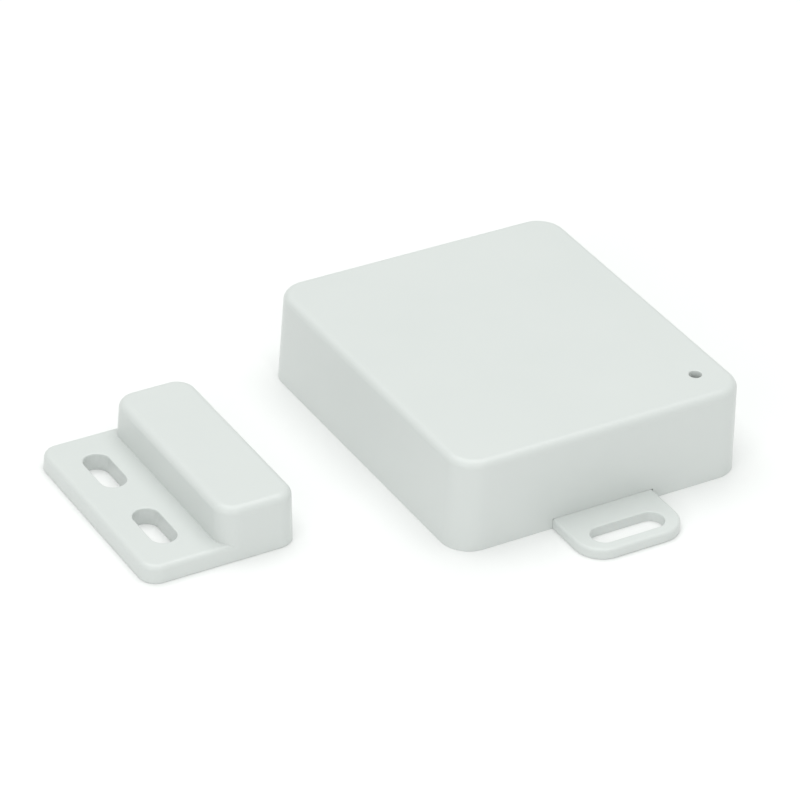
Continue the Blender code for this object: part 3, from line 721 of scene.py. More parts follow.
def cover_shell():
    """The cover: one moulding with bosses and a rib under its ceiling."""
    low, high = box("front_cover")
    height, ceiling = high.z - low.z, high.z - WALL
    rooted = ceiling + WALL / 2
    shell = block("cover_shell", low, high, (COVER_CORNER, 20), (COVER_RIM, 8),
                  lean=height * math.tan(COVER_DRAFT))
    hollow(shell, WALL, height - WALL)
    flared = BOSS_RADIUS + BOSS_FLARE
    profile = [(BOSS_RADIUS, BOSS_FOOT), (BOSS_RADIUS, ceiling - 1), (flared, ceiling), (flared, rooted)]
    for place in COVER_SCREWS:
        boss = turned("boss", profile, place)
        join_on(shell, hollow(boss, BOSS_RADIUS - SCREW_HOLE, BOSS_BORE))
    pin_low, pin_high = box("tamper_plunger")
    radius = (pin_high.x - pin_low.x) / 2
    wide = radius + RIB_FLARE
    rib = [(radius, pin_high.z + GAP), (radius, ceiling - 0.6), (wide, ceiling), (wide, rooted)]
    join_on(shell, turned("rib", rib, middle_of("tamper_plunger").xy))
    half, wide = EAR_WIDTH / 2 + NOTCH_GAP, LED_HOLE + LED_LIP
    notch = block("notch", (-half, low.y - WALL, -WALL), (half, low.y + 2 * WALL, EAR_THICK + NOTCH_GAP))
    hole = [(LED_HOLE, ceiling - WALL), (LED_HOLE, high.z - LED_LIP),
            (LED_HOLE + LED_LIP * 0.3, high.z - LED_LIP * 0.3), (wide, high.z), (wide, high.z + WALL)]
    carve(shell, notch, turned("led_hole", hole, middle_of("status_led").xy, 32))
    finish(shell, COVER, "white_abs", ABS_WHITE, "front_cover")


def ear_solid(low):
    """The screw ear, with two round outer corners and a soft top edge, run back into the plate."""
    back = low.y + EAR_RUN
    ear = block("ear", (-EAR_WIDTH / 2, low.y, 0), (EAR_WIDTH / 2, back, EAR_THICK))

    def outer(edge, height):
        return at_height(edge, height) and min(vert.co.y for vert in edge.verts) / MM < back - NEAR

    with editing(ear):
        front = (low.y + NEAR) * MM
        round_edges(ear, lambda edge: upright(edge) and edge.verts[0].co.y < front, EAR_CORNER, 16)
        round_edges(ear, lambda edge: outer(edge, EAR_THICK), EAR_RIM, 6)
        round_edges(ear, lambda edge: outer(edge, 0), EAR_FOOT, 2)
    return ear


def base_tray():
    """The base plate with its ear, sockets, standoffs, holes, and the tabs that place the cover."""
    low, high = box("base_plate")
    plate = block("base_tray", (low.x, -high.y, 0), (high.x, high.y, PLATE_THICK),
                  (COVER_CORNER - WALL - GAP, 8), (0.15, 2))
    join_on(plate, ear_solid(low))
    socket = [(SOCKET_RADIUS, 0.2), (SOCKET_RADIUS, SOCKET_TOP - SOCKET_EDGE),
              (SOCKET_RADIUS - SOCKET_EDGE, SOCKET_TOP)]
    wide = STANDOFF_RADIUS + STANDOFF_FLARE
    post = [(wide, 0.4), (wide, PLATE_THICK), (STANDOFF_RADIUS, PLATE_THICK + STANDOFF_FLARE),
            (STANDOFF_RADIUS, SOCKET_TOP)]
    for name, profile, places in (("socket", socket, COVER_SCREWS), ("post", post, BOARD_SCREWS)):
        for place in places:
            join_on(plate, turned(name, profile, place))
    half = TAB_LONG / 2
    tabs = [(x, SIDE_TAB_Y - half, x + TAB_THICK, SIDE_TAB_Y + half) for x in (low.x, high.x - TAB_THICK)]
    tabs += [(x - half, high.y - TAB_THICK, x + half, high.y) for x in (-BACK_TAB_X, BACK_TAB_X)]
    for left, front, right, back in tabs:
        tab = block("tab", (left, front, TAB_FOOT), (right, back, TAB_TOP), rim=(TAB_RIM, 4))
        join_on(plate, tab)
    wide = RECESS_RADIUS + 2 * RECESS_EDGE
    recess = [(RECESS_RADIUS, RECESS_DEPTH), (RECESS_RADIUS, RECESS_EDGE), (wide, -RECESS_EDGE),
              (wide, -WALL)]
    for place in COVER_SCREWS:
        carve(plate, turned("recess", recess, place), rod(SCREW_HOLE, 0, 2 * SOCKET_TOP, place))
    for place in BOARD_SCREWS:
        carve(plate, rod(PILOT_HOLE, PILOT_FOOT, 2 * SOCKET_TOP, place))
    carve(plate, slot_tool(EAR_SLOT, EAR_THICK, (0, EAR_SLOT_Y), EAR_SLOT_LIP, 14))
    finish(plate, BASE, "white_abs", ABS_WHITE, "base_plate")


# ---- magnet unit


def magnet_case():
    """The stepped case: a flange with two slots and, flush with its ends, the block for the magnet."""
    low, high = box("magnet_housing")
    slope, step_x = math.tan(CASE_DRAFT), high.x - BLOCK_WIDTH
    flush = Vector((0, FLUSH, 0))
    flange_high = Vector((step_x + BLOCK_WIDTH / 2, high.y, FLANGE_TOP))
    case = block("magnet_case", low + flush, flange_high - flush, (FLANGE_CORNER, 14), (FLANGE_RIM, 7),
                 FOOT, FLANGE_TOP * slope)
    for place in FLANGE_SLOT_PLACES:
        carve(case, slot_tool(FLANGE_SLOT, FLANGE_TOP, place, FLANGE_SLOT_LIP, 12))
    join_on(case, block("magnet_block", (step_x, low.y, 0), high, (BLOCK_CORNER, 14), (BLOCK_RIM, 8),
                        FOOT, high.z * slope))
    for node, below in (("magnet_back_cover", WALL), ("bar_magnet", 2 * WALL)):
        room_low, room_high = box(node)
        room = block("room", room_low - Vector((GAP, GAP, below)), room_high + Vector((GAP, GAP, GAP)))
        carve(case, room)
    finish(case, MAGNET, "white_abs", ABS_WHITE, "magnet_housing")


def magnet_lid():
    """The lid pressed into the back, with a thumbnail notch at one end."""
    low, high = box("magnet_back_cover")
    x = (low.x + high.x) / 2
    lid = block("magnet_lid", low, high, (0.8, 5), foot=0.15)
    carve(lid, block("nick", (x - NICK_HALF, low.y - 1, -1), (x + NICK_HALF, low.y + NICK_DEEP, NICK_TALL)))
    finish(lid, MAGNET, "white_abs", ABS_WHITE, "magnet_back_cover")


def bar_magnet():
    """The bar of sintered magnet inside the block."""
    low, high = box("bar_magnet")
    bar = block("magnet_bar", low, high, (0.4, 2), (0.25, 2), 0.25)
    finish(bar, MAGNET, "ferrite", FERRITE, "bar_magnet")


# ---- circuit board


BOARD_LOW, BOARD_HIGH = box("circuit_board")
BOARD_TOP = BOARD_HIGH.z
PAD_TOP = BOARD_TOP + SOLDER_RISE


def circuit_board():
    """The board, notched round the cover's bosses, with pads round its screws and test pads."""
    board = block("printed_board", BOARD_LOW, BOARD_HIGH, (0.4, 3))
    for x, y in COVER_SCREWS:
        far_x = x + math.copysign(abs(x) > BOARD_HIGH.x - 2 * NOTCH_RADIUS, x) * NOTCH_RUN
        far_y = y + math.copysign(NOTCH_RUN, y - (BOARD_LOW.y + BOARD_HIGH.y) / 2)
        notch_low = (min(x, far_x) - NOTCH_RADIUS, min(y, far_y) - NOTCH_RADIUS, 0)
        notch_high = (max(x, far_x) + NOTCH_RADIUS, max(y, far_y) + NOTCH_RADIUS, THROUGH)
        carve(board, block("boss_notch", notch_low, notch_high, (NOTCH_RADIUS * 0.99, 10)))
    drilled(board, rod(PILOT_HOLE, 0, THROUGH, steps=28), BOARD_SCREWS)
    finish(board, BASE, "board_green", PRINTED_BOARD, "circuit_board")
    ring = rod(2.1, BOARD_TOP - EMBED, BOARD_TOP + 0.03, steps=32)
    carve(ring, rod(PILOT_HOLE, 0, THROUGH, steps=28))
    dot = turned("dot", [(0.5, BOARD_TOP - EMBED), (0.5, BOARD_TOP + 0.025), (0.46, BOARD_TOP + 0.035)],
                 steps=20)
    pads = [repeated("rings", ring, BOARD_SCREWS), repeated("dots", dot, TEST_PADS)]
    finish(merge("test_pads", pads), BASE, "steel", TINNED)


def board_outlines():
    """Printed outlines on the board round the larger parts."""
    frames = []
    for node, room in OUTLINED.items():
        low, high = box(node)
        low = Vector((low.x - room, low.y - room, BOARD_TOP - EMBED))
        high = Vector((high.x + room, high.y + room, BOARD_TOP + 2 * EMBED))
        inwards = Vector((OUTLINE_WIDTH, OUTLINE_WIDTH, -1))
        inside = block("inside", low + inwards, high - inwards, (0.2, 3))
        frames.append(carve(block("outline", low, high, (0.3, 3)), inside))
    finish(merge("board_outlines", frames), BASE, "white_abs", BOARD_INK)


def chip_parts():
    """The small resistors and capacitors: bodies, tinned ends and solder."""
    length, width = SMALL_HALF_LENGTH, SMALL_HALF_WIDTH
    for label, material, slot, places, height in (
        ("chip_resistors", RESISTOR_BLACK, "black_plastic", RESISTOR_PLACES, 0.45),
        ("chip_capacitors", CERAMIC_TAN, "ferrite", CAPACITOR_PLACES, 0.8),
    ):
        top = PAD_TOP + height
        body = block("body", (0.1 - length, 0.02 - width, PAD_TOP), (length - 0.1, width - 0.02, top - 0.03))
        finish(repeated(label, soften(body, 0.03, 1), places), BASE, slot, material)
        end = soften(block("end", (0.48, -width, PAD_TOP), (length, width, top)), 0.05, 2)
        pad = block("pad", (0.45, -width - 0.06, BOARD_TOP - EMBED), (length + 0.35, width + 0.06, PAD_TOP),
                    rim=(0.02, 1))
        rise, wide = FILLET_SHARE * height, width * 0.9
        fillet = strip("fillet", (length - 0.05, -wide, PAD_TOP - 0.02), (length, wide, PAD_TOP + rise),
                       [(0.12, 0, 0), (0.16, 0, 0)])
        with editing(fillet):
            for reach, sink in ((0.12, 0.7), (0.28, 0.23)):
                start = (length + reach - NEAR) * MM
                choose(fillet, "verts", lambda vert: vert.co.x > start and vert.co.z / MM > PAD_TOP + NEAR)
                bpy.ops.transform.translate(value=metres((0, 0, -rise * sink)))
        ends = repeated("ends", merge("end", [end, pad, fillet]), [(0, 0, 0), (0, 0, 180)])
        finish(repeated(f"{label}_ends", ends, places), BASE, "steel", TINNED)


def microcontroller():
    """A flat square chip with a dimple at its first leg, and a row of bent legs on each side."""
    low, high = box("microcontroller")
    middle = (low + high) / 2
    body = block("microcontroller_body", sunk(low, 0.05), high, (0.25, 1), (0.12, 1), 0.12, 0.12)
    dimple = turned("dimple", [(0.30, high.z - 0.08), (0.38, high.z + 0.1)], (low.x + 1, high.y - 1), 24)
    finish(carve(body, dimple), BASE, "black_plastic", CHIP_BLACK, "microcontroller")
    reach, half, drop = (high.x - low.x) / 2, 0.14, PAD_TOP - middle.z
    leg = strip("leg", (reach - 0.3, -half, middle.z), (reach + 0.12, half, middle.z + 0.13),
                [(0.1, 0, -0.06), (0.12, 0, drop + 0.12), (0.08, 0, -0.06), (0.4, 0, 0)])
    places = []
    for turn in (0, 90, 180, 270):
        for number in range(CHIP_LEGS):
            shift = (number - (CHIP_LEGS - 1) / 2) * CHIP_LEG_PITCH
            across = Matrix.Rotation(math.radians(turn), 2) @ Vector((0, shift))
            places.append((*(middle.xy + across), turn))
    finish(repeated("microcontroller_legs", leg, places), BASE, "steel", TINNED)


def small_transistors():
    """Three-legged packages beside the chip."""
    body = block("body", (-0.65, -1.45, BOARD_TOP + 0.1), (0.65, 1.45, BOARD_TOP + 1.05), (0.1, 1),
                 (0.12, 1), 0.12, 0.08)
    leg = strip("leg", (0.5, -0.2, BOARD_TOP + 0.5), (0.75, 0.2, BOARD_TOP + 0.63),
                [(0.1, 0, -0.06), (0.1, 0, -0.36), (0.3, 0, -0.04)])
    legs = repeated("legs", leg, [(0, -0.95), (0, 0.95), (0, 0, 180)])
    bodies = repeated("transistor_bodies", body, TRANSISTOR_PLACES)
    finish(bodies, BASE, "black_plastic", CHIP_BLACK)
    finish(repeated("transistor_legs", legs, TRANSISTOR_PLACES), BASE, "steel", TINNED)


def radio_module():
    """The radio's own small board with half-hole pads along two edges, under a pressed shield can."""
    low, high = box("radio_module_board")
    middle = (low + high) / 2
    board = block("radio_board", sunk(low, 0.25), high)
    rows = [(x, middle.y + number * PAD_PITCH, turn)
            for x, turn in ((low.x, 0), (high.x, 180)) for number in range(-3, 4)]
    drilled(board, rod(0.35, 0, THROUGH, steps=16), rows)
    finish(board, BASE, "board_green", RADIO_BOARD, "radio_module_board")
    pad_top = high.z + 0.03
    pad = block("pad", (0.30, -0.42, high.z - EMBED), (1.05, 0.42, pad_top))
    cup = carve(rod(0.42, low.z - 0.2, pad_top), rod(0.3, 0, THROUGH),
                block("outside", (-1, -1, 0), (0, 1, THROUGH)))
    finish(repeated("radio_pads", merge("pad_and_cup", [pad, cup]), rows), BASE, "steel", TINNED)
    low, high = box("radio_shield_can")
    can = block("shield_can", sunk(low, 0.25), high, (0.5, 5), (0.25, 4))
    holes = [(middle.x + column * VENT_PITCH, middle.y + row * VENT_PITCH)
             for column in (-1.5, -0.5, 0.5, 1.5) for row in (-1, 0, 1)]
    drilled(can, rod(0.4, high.z - 0.2, high.z + 1, steps=16), holes)
    for y in (low.y, high.y):
        carve(can, block("slit", (middle.x - 2.5, y - 0.15, low.z - 1),
                         (middle.x + 2.5, y + 0.15, low.z + 0.5)))
    finish(can, BASE, "steel", SHIELD_METAL, "radio_shield_can")


def crystal():
    """The timing crystal's pressed can, with the rim it is welded to."""
    low, high = box("timing_crystal")
    inset, round_top = Vector((0.35, 0.35, 0)), 0.5
    can = round_ended("crystal_can", low + inset, sunk(high - inset, round_top), 12,
                      quarter_round(round_top, 5, 1))
    rim = round_ended("crystal_rim", sunk(low, 0.25), (high.x, high.y, low.z + 0.35), 12,
                      quarter_round(0.12, 2, 1))
    finish(join_on(can, rim), BASE, "steel", NICKEL, "timing_crystal")


def antenna():
    """The helical antenna: a springy coil along X with a leg down to the board at its far end. It returns the
    leg's foot.
    """
    low, high = box("antenna_coil")
    radius = (high.y - low.y) / 2 - COIL_WIRE
    middle_y, middle_z = (low.y + high.y) / 2, high.z - COIL_WIRE - radius
    end_run = COIL_PITCH * 0.8

    def on_coil(x, angle):
        return x, middle_y + radius * math.sin(angle), middle_z + radius * math.cos(angle)

    points = [
        on_coil(low.x + COIL_WIRE + COIL_PITCH * step / COIL_STEPS, 2 * math.pi * step / COIL_STEPS)
        for step in range(COIL_TURNS * COIL_STEPS + 1)
    ]
    last_x = points[-1][0]
    for step in range(1, 10):
        angle = math.radians(10 * step)
        points.append(on_coil(last_x + end_run * math.sin(angle / 2 + angle * angle / math.pi), angle))
    foot = (last_x + end_run, middle_y + radius)
    coil = wire("helical_antenna", [*points, (*foot, BOARD_TOP + 0.05)], COIL_WIRE)
    finish(coil, BASE, "copper", COPPER, "antenna_coil", angle=60)
    return foot


def capacitor():
    """The storage capacitor: a sleeved can with a crimped groove and a scored vent on top."""
    low, high = box("storage_capacitor")
    x, y, top, radius = (low.x + high.x) / 2, (low.y + high.y) / 2, high.z, (high.x - low.x) / 2
    side = ((0.92, 0.0), (1.0, 0.2), (1.0, 1.0), (0.97, 1.2), (0.93, 1.4), (0.97, 1.6), (1.0, 1.8))
    rim = ((1.0, 0.4), (0.98, 0.15), (0.93, 0.02), (0.88, 0.0), (0.84, 0.02), (0.83, 0.25))
    profile = [(radius * share, low.z + rise) for share, rise in side]
    profile += [(radius * share, top - drop) for share, drop in rim]
    sleeve = turned("capacitor_sleeve", profile, (x, y), 48)
    finish(sleeve, BASE, "capacitor_sleeve", CAN_SLEEVE, "storage_capacitor")
    lid_profile = [(radius * share, top - drop) for share, drop in ((0.85, 0.3), (0.82, 0.12), (0.80, 0.08))]
    lid = turned("capacitor_vent", lid_profile, (x, y), 48)
    for across, along in ((0.07, 1.9), (1.9, 0.07)):
        carve(lid, block("score", (x - across, y - along, top - 0.15), (x + across, y + along, top + 1)))
    finish(lid, BASE, "steel", ALUMINIUM)


# ---- switches, jumper, indicator, reed


def push_switch(label, node):
    """A square push switch: a moulded base, a pressed frame held by four studs, and four legs."""
    low, high = box(node)
    middle, half, frame_foot = (low + high) / 2, (high.x - low.x) / 2, high.z - 0.25
    base = block(f"{label}_base", sunk(low, 0.2), (high.x, high.y, frame_foot), (0.35, 2), foot=0.12)
    carve(base, rod(WELL_RADIUS, high.z - WELL_DEPTH, high.z + 1, middle.xy, 32))
    finish(base, BASE, "black_plastic", BLACK_PLASTIC, node)
    plate = block("frame", (low.x + 0.1, low.y + 0.1, frame_foot), high - Vector((0.1, 0.1, 0.05)),
                  (0.4, 4), (0.06, 2))
    carve(plate, rod(WELL_RADIUS + 0.1, 0, 2 * THROUGH, middle.xy, 32))
    reach, bend = half - 0.02, low.z + 0.75
    leg = strip("leg", (reach - 0.2, -0.35, bend), (reach + 0.12, 0.35, bend + 0.1),
                [(0.08, 0, -0.08), (0.02, 0, -0.8)])
    places = [(middle.x, middle.y + step * 2.25, turn) for turn in (0, 180) for step in (-1, 1)]
    finish(merge(f"{label}_frame", [plate, repeated("legs", leg, places)]), BASE, "steel", NICKEL)
    stud = turned("stud", [(0.42, frame_foot - 0.2), (0.42, high.z - 0.04), (0.3, high.z)], steps=20)
    corners = [(middle.x + a * (half - 0.8), middle.y + b * (half - 0.8)) for a in (-1, 1) for b in (-1, 1)]
    finish(repeated(f"{label}_studs", stud, corners), BASE, "black_plastic", BLACK_PLASTIC)


def buttons():
    """The red plunger that the cover presses, and the learn button's dished cap."""
    edge = ((0, 0.35), (0.05, 0.16), (0.18, 0.04), (0.34, 0))
    dish = ((0.6, 0.01), (0.3, 0.04))
    for name, node, body, slot, material in (
        ("tamper_pin", "tamper_plunger", "tamper_button", "red_plastic", RED_PLASTIC),
        ("learn_key", "learn_button_cap", "learn_button", "white_abs", ABS_WHITE),
    ):
        low, high = box(node)
        radius = (high.x - low.x) / 2
        profile = [(radius - 0.15, low.z), (radius, low.z + 0.15)]
        profile += [(radius - inset, high.z - drop) for inset, drop in edge]
        profile += [(radius * share, high.z - drop) for share, drop in dish]
        finish(turned(name, profile, middle_of(node).xy), body, slot, material, node, angle=40)


def jumper():
    """The two-pin header with its square pins, and the cap that bridges them."""
    low, high = box("jumper_header")
    cap_low, cap_high = box("jumper_cap")
    middle, half, thick = (low + high) / 2, (high.x - low.x) / 4, 0.32
    places = [(middle.x - half, middle.y), (middle.x + half, middle.y)]
    cell = block("cell", (-half - 0.01, -half, low.z - 0.2), (half + 0.01, half, cap_low.z - GAP),
                 (0.45, 1), (0.08, 1))
    first, second = (copied(cell, *place) for place in places)
    bpy.data.objects.remove(cell)
    header = merge("jumper_base", [join_on(first, second)])
    finish(header, BASE, "black_plastic", BLACK_PLASTIC, "jumper_header")
    pin = block("pin", (-thick, -thick, low.z), (thick, thick, high.z - 0.4))
    with editing(pin):
        choose(pin, "faces", faces_up)
        extrude(0, 0, 0.4)
        resize(0.45, 0.45, (0, 0))
    finish(repeated("jumper_pins", pin, places), BASE, "steel", TINNED)
    cap = block("jumper_bridge", cap_low, cap_high, (0.35, 3), (0.3, 3))
    drilled(cap, block("socket", (-0.5, -0.5, 0), (0.5, 0.5, high.z + 0.15)), places)
    carve(cap, block("window", (middle.x - 0.9, cap_low.y - 1, cap_high.z - 1.6),
                     (middle.x + 0.9, cap_low.y + 0.3, cap_high.z - 0.8)))
    finish(cap, BASE, "red_plastic", RED_PLASTIC, "jumper_cap")


def indicator():
    """The lamp on the board, and the clear guide that carries its light up to the cover."""
    low, high = box("status_led")
    seat = block("lamp_seat", sunk(low, 0.25), (high.x, high.y, high.z - 0.35), (0.12, 2))
    finish(seat, BASE, "white_abs", LAMP_WHITE)
    inset = Vector((0.35, 0.12, 0))
    lens = block("lamp_lens", Vector((low.x, low.y, high.z - 0.4)) + inset, high - inset, (0.15, 4),
                 (0.2, 5), lean=0.05)
    finish(lens, BASE, "red_plastic", LAMP_RED, "status_led")
    low, high = box("led_light_guide")
    collar, stem, dome = (high.x - low.x) / 2, LED_HOLE - GAP / 2, 0.2
    collar_top = box("front_cover")[1].z - WALL - GAP
    profile = [(stem - 0.1, low.z), (stem, low.z + 0.1), (stem, collar_top - 0.8),
               (collar - 0.1, collar_top - 0.8), (collar, collar_top - 0.7), (collar, collar_top - 0.1),
               (collar - 0.1, collar_top), (stem, collar_top), (stem, high.z - dome)]
    profile += [(stem * math.cos(angle), high.z - dome + dome * math.sin(angle))
                for angle in (math.radians(15 * step) for step in range(1, 6))]
    pipe = turned("light_pipe", profile, middle_of("led_light_guide").xy)
    finish(pipe, COVER, "clear_guide", CLEAR, "led_light_guide")


def reed_switch():
    """The reed switch: a glass tube drawn in at its ends, two blades inside, and its bent leads.

    It returns the places of the leads' feet.
    """
    low, high = box("reed_switch_glass")
    middle, radius, half = (low + high) / 2, (high.x - low.x) / 2, (high.y - low.y) / 2
    ends = ((0.22, 0.0), (0.5, 0.2), (0.74, 0.5), (0.9, 0.9), (0.98, 1.35), (1.0, 1.8))
    outline = [(radius * share, rise * radius - half) for share, rise in ends]
    outline += [(share, -height) for share, height in reversed(outline)]
    lie = (math.radians(90), 0, 0)
    tube = turned("reed_tube", outline, middle, 40, lie)
    bore = [(share * 0.72, height * 0.86) for share, height in outline]
    carve(tube, turned("bore", bore, middle, 32, lie))
    finish(tube, BASE, "reed_glass", REED_GLASS, "reed_switch_glass", angle=50)
    blades = []
    for side in (-1, 1):
        level = middle.z + side * 0.09
        near, far = sorted((middle.y - side * 0.7, middle.y + side * (half - 1.7)))
        blades.append(block("blade", (middle.x - 0.42, near, level - 0.06),
                            (middle.x + 0.42, far, level + 0.06), (0.2, 3)))
    finish(merge("reed_blades", blades), BASE, "steel", NICKEL)
    feet = []
    for place, side in (("front", -1), ("back", 1)):
        lead_low, lead_high = box(f"reed_lead_{place}")
        thick = (lead_high.x - lead_low.x) / 2
        foot_y = (lead_low.y + thick) if side < 0 else (lead_high.y - thick)
        points = [(middle.x, middle.y + side * (half - 2.2), middle.z)]
        for angle in (math.radians(7.5 * step) for step in range(13)):
            points.append((middle.x, foot_y - side * LEAD_BEND * (1 - math.sin(angle)),
                           middle.z - LEAD_BEND * (1 - math.cos(angle))))
        points.append((middle.x, foot_y, BOARD_TOP + 0.02))
        leg = wire(f"reed_leg_{place}", points, thick)
        finish(leg, BASE, "steel", TINNED, f"reed_lead_{place}", angle=60)
        feet.append((middle.x, foot_y))
    return feet


def solder(places):
    """A small cone of solder at each lead's foot."""
    steps = ((0.85, -0.01), (0.82, 0.05), (0.62, 0.14), (0.48, 0.28), (0.4, 0.45), (0.3, 0.5))
    cone = turned("cone", [(radius, BOARD_TOP + rise) for radius, rise in steps], steps=24)
    finish(repeated("solder_joints", cone, places), BASE, "steel", TINNED, angle=50)


# ---- batteries and screws


def battery_holder():
    """The tray for the cells, with cradles under them and a dip in its walls for a finger."""
    low, high = box("battery_holder")
    floor = low.z + HOLDER_WALL
    holder = block("battery_tray", low, high, (HOLDER_CORNER, 8), foot=0.3)
    left, front, right, back = (
        low.x + HOLDER_WALL, low.y + HOLDER_WALL, high.x - HOLDER_WALL, high.y - HOLDER_WALL
    )
    carve(holder, block("bay", (left, front, floor), (right, back, high.z + 1), (0.6, 3)))
    cradle = block("cradle", (left + 3, front - 0.2, low.z + 0.4),
                   (right - 3, back + 0.2, low.z + CRADLE_TALL))
    for number in CELL_SIDES:
        cell_low, cell_high = box(f"battery_{number}")
        room, middle = (cell_high.z - cell_low.z) / 2 + 0.15, (cell_low + cell_high) / 2
        carve(cradle, rod(room, -30, 30, (0, middle.y, middle.z), 48, (0, math.radians(90), 0)))
    for x in (-12, 0, 12):
        carve(cradle, block("gap", (x - 4, front - 1, floor - EMBED), (x + 4, back + 1, high.z)))
    join_on(holder, cradle)
    for y in (low.y, high.y):
        carve(holder, block("dip", (-DIP_HALF, y - 2, high.z - DIP_DEEP), (DIP_HALF, y + 2, high.z + 3)))
    finish(soften(holder, HOLDER_EDGE, 2), BASE, "black_plastic", BLACK_PLASTIC, "battery_holder")


def batteries():
    """Two cells laid opposite ways: a sleeve rolled in over the metal at both ends."""
    rolled = ((0.35, 0), (0.12, 0.08), (0.02, 0.3))  # from the end, in from the side
    for number, side in CELL_SIDES.items():
        low, high = box(f"battery_{number}")
        middle, radius, half = (low + high) / 2, (high.y - low.y) / 2, (high.x - low.x) / 2
        shoulder, nub = half - NUB_LENGTH, NUB_RADIUS
        lie = (0, side * math.radians(90), 0)
        sleeve = [(0.72 * radius, 0.06 - half), (0.78 * radius, -half)]
        sleeve += [(radius - inset, drop - half) for drop, inset in reversed(rolled)]
        sleeve += [(radius - inset, shoulder - drop) for drop, inset in rolled]
        sleeve += [(0.78 * radius, shoulder), (0.72 * radius, shoulder - 0.06)]
        film = turned(f"cell_sleeve_{number}", sleeve, middle, 64, lie)
        finish(film, BASE, "cell_sleeve", CELL_SLEEVES[number], f"battery_{number}")
        cap = [(0.74 * radius, shoulder - 0.2), (0.7 * radius, shoulder + 0.02), (nub + 0.5, shoulder + 0.04),
               (nub + 0.1, shoulder + 0.12), (nub, shoulder + 0.25), (nub, half - 0.2),
               (nub - 0.08, half - 0.06), (nub - 0.25, half)]
        foot = [(0.55 * radius, 0.01 - half), (0.7 * radius, 0.06 - half), (0.74 * radius, 0.3 - half)]
        ends = [turned("cap", cap, middle, 48, lie), turned("foot", foot, middle, 48, lie)]
        finish(merge(f"cell_ends_{number}", ends), BASE, "steel", NICKEL, angle=50)


def contacts():
    """The conical springs, the two end terminals and the strip that links the cells."""
    for number, side in CELL_SIDES.items():
        low, high = box(f"battery_spring_{number}")
        middle = middle_of(f"battery_{number}")
        outer, inner = (low.x + SPRING_WIRE, high.x - SPRING_WIRE)[::side]
        points = []
        for share in (step / SPRING_STEPS for step in range(SPRING_STEPS + 1)):
            angle = 2 * math.pi * SPRING_TURNS * share
            reach = SPRING_WIDE + (SPRING_NARROW - SPRING_WIDE) * share
            points.append((outer + (inner - outer) * share, middle.y + reach * math.cos(angle),
                           middle.z + reach * math.sin(angle)))
        spring = wire(f"cell_spring_{number}", points, SPRING_WIRE)
        finish(spring, BASE, "steel", SPRING_STEEL, f"battery_spring_{number}", angle=60)
    dimple = [(1.5, 0), (1.5, 0.15), (1.1, 0.22), (0.5, 0.25)]
    for node, name, shifts in (
        ("battery_terminal_1", "end_terminal_1", (0,)),
        ("battery_terminal_2", "end_terminal_2", (0,)),
        ("battery_link_strip", "link_plate", (-CELL_PITCH / 2, CELL_PITCH / 2)),
    ):
        x, y, z = middle_of(node)
        plate = pressed_plate(name, *box(node))
        inwards = (0, math.copysign(math.radians(90), -x), 0)
        for shift in shifts:
            join_on(plate, turned("dimple", dimple, (x, y + shift, z), 32, inwards))
        finish(plate, BASE, "steel", NICKEL, node)


def screw_set(label, places, flip, shank, threads):
    """A pan-head screw with a cross recess and a thread, modelled once and copied to each place."""
    low, high = box(f"{label}_1")
    radius, total = (high.x - low.x) / 2, high.z - low.z
    neck, root = total - SCREW_HEAD, shank * 0.74
    pitch = (neck - 1.1) / threads
    profile = [(0.12, 0), (shank * 0.7, SCREW_POINT)]
    for foot in (SCREW_POINT + number * pitch for number in range(threads)):
        profile += [(root, foot + pitch * 0.25), (shank, foot + pitch * 0.5),
                    (shank * 0.98, foot + pitch * 0.6), (root, foot + pitch * 0.9)]
    profile += [(root, neck - 0.2), (shank * 0.9, neck), (radius - 0.05, neck + 0.01), (radius, neck + 0.06),
                (radius, neck + 0.45), (radius * 0.96, neck + 0.7), (radius * 0.85, neck + 0.95),
                (radius * 0.66, neck + 1.12), (radius * 0.4, total)]
    screw = turned(f"{label}_model", profile, steps=32)
    for across, along in ((0.16, 0.56), (0.56, 0.16)):
        a, b = across * radius, along * radius
        bar = block("bar", (-a, -b, neck + 0.35), (a, b, total + 1))
        with editing(bar):
            choose(bar, "verts", lambda vert: vert.co.z / MM < neck + 0.5)
            resize(0.6, 0.6, (0, 0))
        carve(screw, bar)
    if flip:
        screw.rotation_euler.x = math.pi
    screw.location = metres((0, 0, high.z if flip else low.z))
    settle(screw)
    for number, (x, y) in enumerate(places, 1):
        twin = merge(f"{label}_piece_{number}", [copied(screw, x, y)])
        finish(twin, BASE, "steel", ZINC, f"{label}_{number}")
    bpy.data.objects.remove(screw)


# ---- stage, light and camera


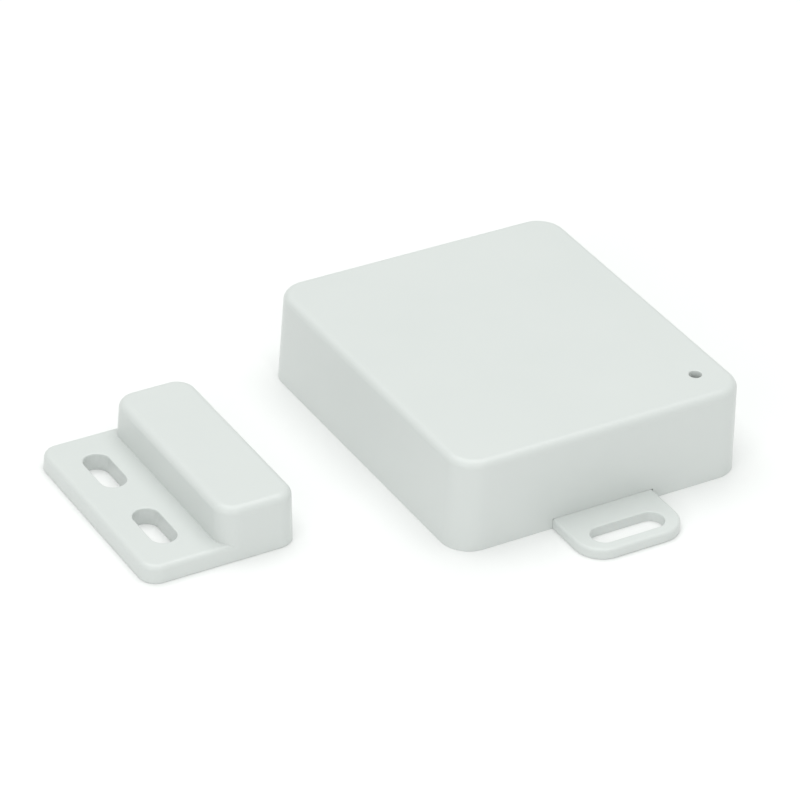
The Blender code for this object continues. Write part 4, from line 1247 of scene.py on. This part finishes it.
def stage():
    deselect()
    bpy.ops.mesh.primitive_plane_add(size=4.0, location=metres((0, 0, -0.02)))
    floor = named("floor")
    material = bpy.data.materials.new("pale_floor")
    material.use_nodes = True
    shader = material.node_tree.nodes["Principled BSDF"]
    for label, value in (
        ("Base Color", (0.86, 0.86, 0.86, 1.0)), ("Roughness", 0.9), ("Specular IOR Level", 0.0),
        ("Emission Color", (1.0, 1.0, 1.0, 1.0)), ("Emission Strength", 0.04),
    ):
        shader.inputs[label].default_value = value
    floor.data.materials.append(material)


def light():
    scene = bpy.context.scene
    scene.world = bpy.data.worlds.new("studio")
    scene.world.use_nodes = True
    back = scene.world.node_tree.nodes["Background"]
    back.inputs["Color"].default_value = (0.96, 1.0, 0.97, 1.0)
    back.inputs["Strength"].default_value = 0.60
    for name, place, width, power in LAMPS:
        data = bpy.data.lights.new(name, "AREA")
        data.shape = "RECTANGLE"
        data.size = data.size_y = width
        data.energy = power
        lamp = bpy.data.objects.new(name, data)
        lamp.location = place
        lamp.rotation_euler = (-Vector(place)).to_track_quat("-Z", "Y").to_euler()
        scene.collection.objects.link(lamp)
    scene.view_settings.view_transform = "Standard"
    scene.view_settings.look = "None"


def camera():
    data = bpy.data.cameras.new("camera")
    data.lens, data.sensor_width = CAMERA_LENS, 36.0
    data.clip_start, data.clip_end = 0.05, 10.0
    obj = bpy.data.objects.new("camera", data)
    obj.location = metres(CAMERA_PLACE)
    look = (CAMERA_AIM - CAMERA_PLACE).to_track_quat("-Z", "Y").to_matrix().to_4x4()
    obj.rotation_euler = (look @ Matrix.Rotation(CAMERA_ROLL, 4, "Z")).to_euler()
    bpy.context.scene.collection.objects.link(obj)
    bpy.context.scene.camera = obj


cover_shell()
base_tray()
magnet_case()
magnet_lid()
circuit_board()
board_outlines()
chip_parts()
microcontroller()
small_transistors()
radio_module()
crystal()
coil_foot = antenna()
capacitor()
push_switch("tamper_switch", "tamper_switch_body")
push_switch("learn_switch", "learn_button_body")
buttons()
jumper()
indicator()
solder([coil_foot, *reed_switch()])
battery_holder()
batteries()
contacts()
screw_set("cover_screw", COVER_SCREWS, True, 1.0, 9)
screw_set("board_screw", BOARD_SCREWS, False, 0.8, 5)
bar_magnet()
stage()
light()
camera()
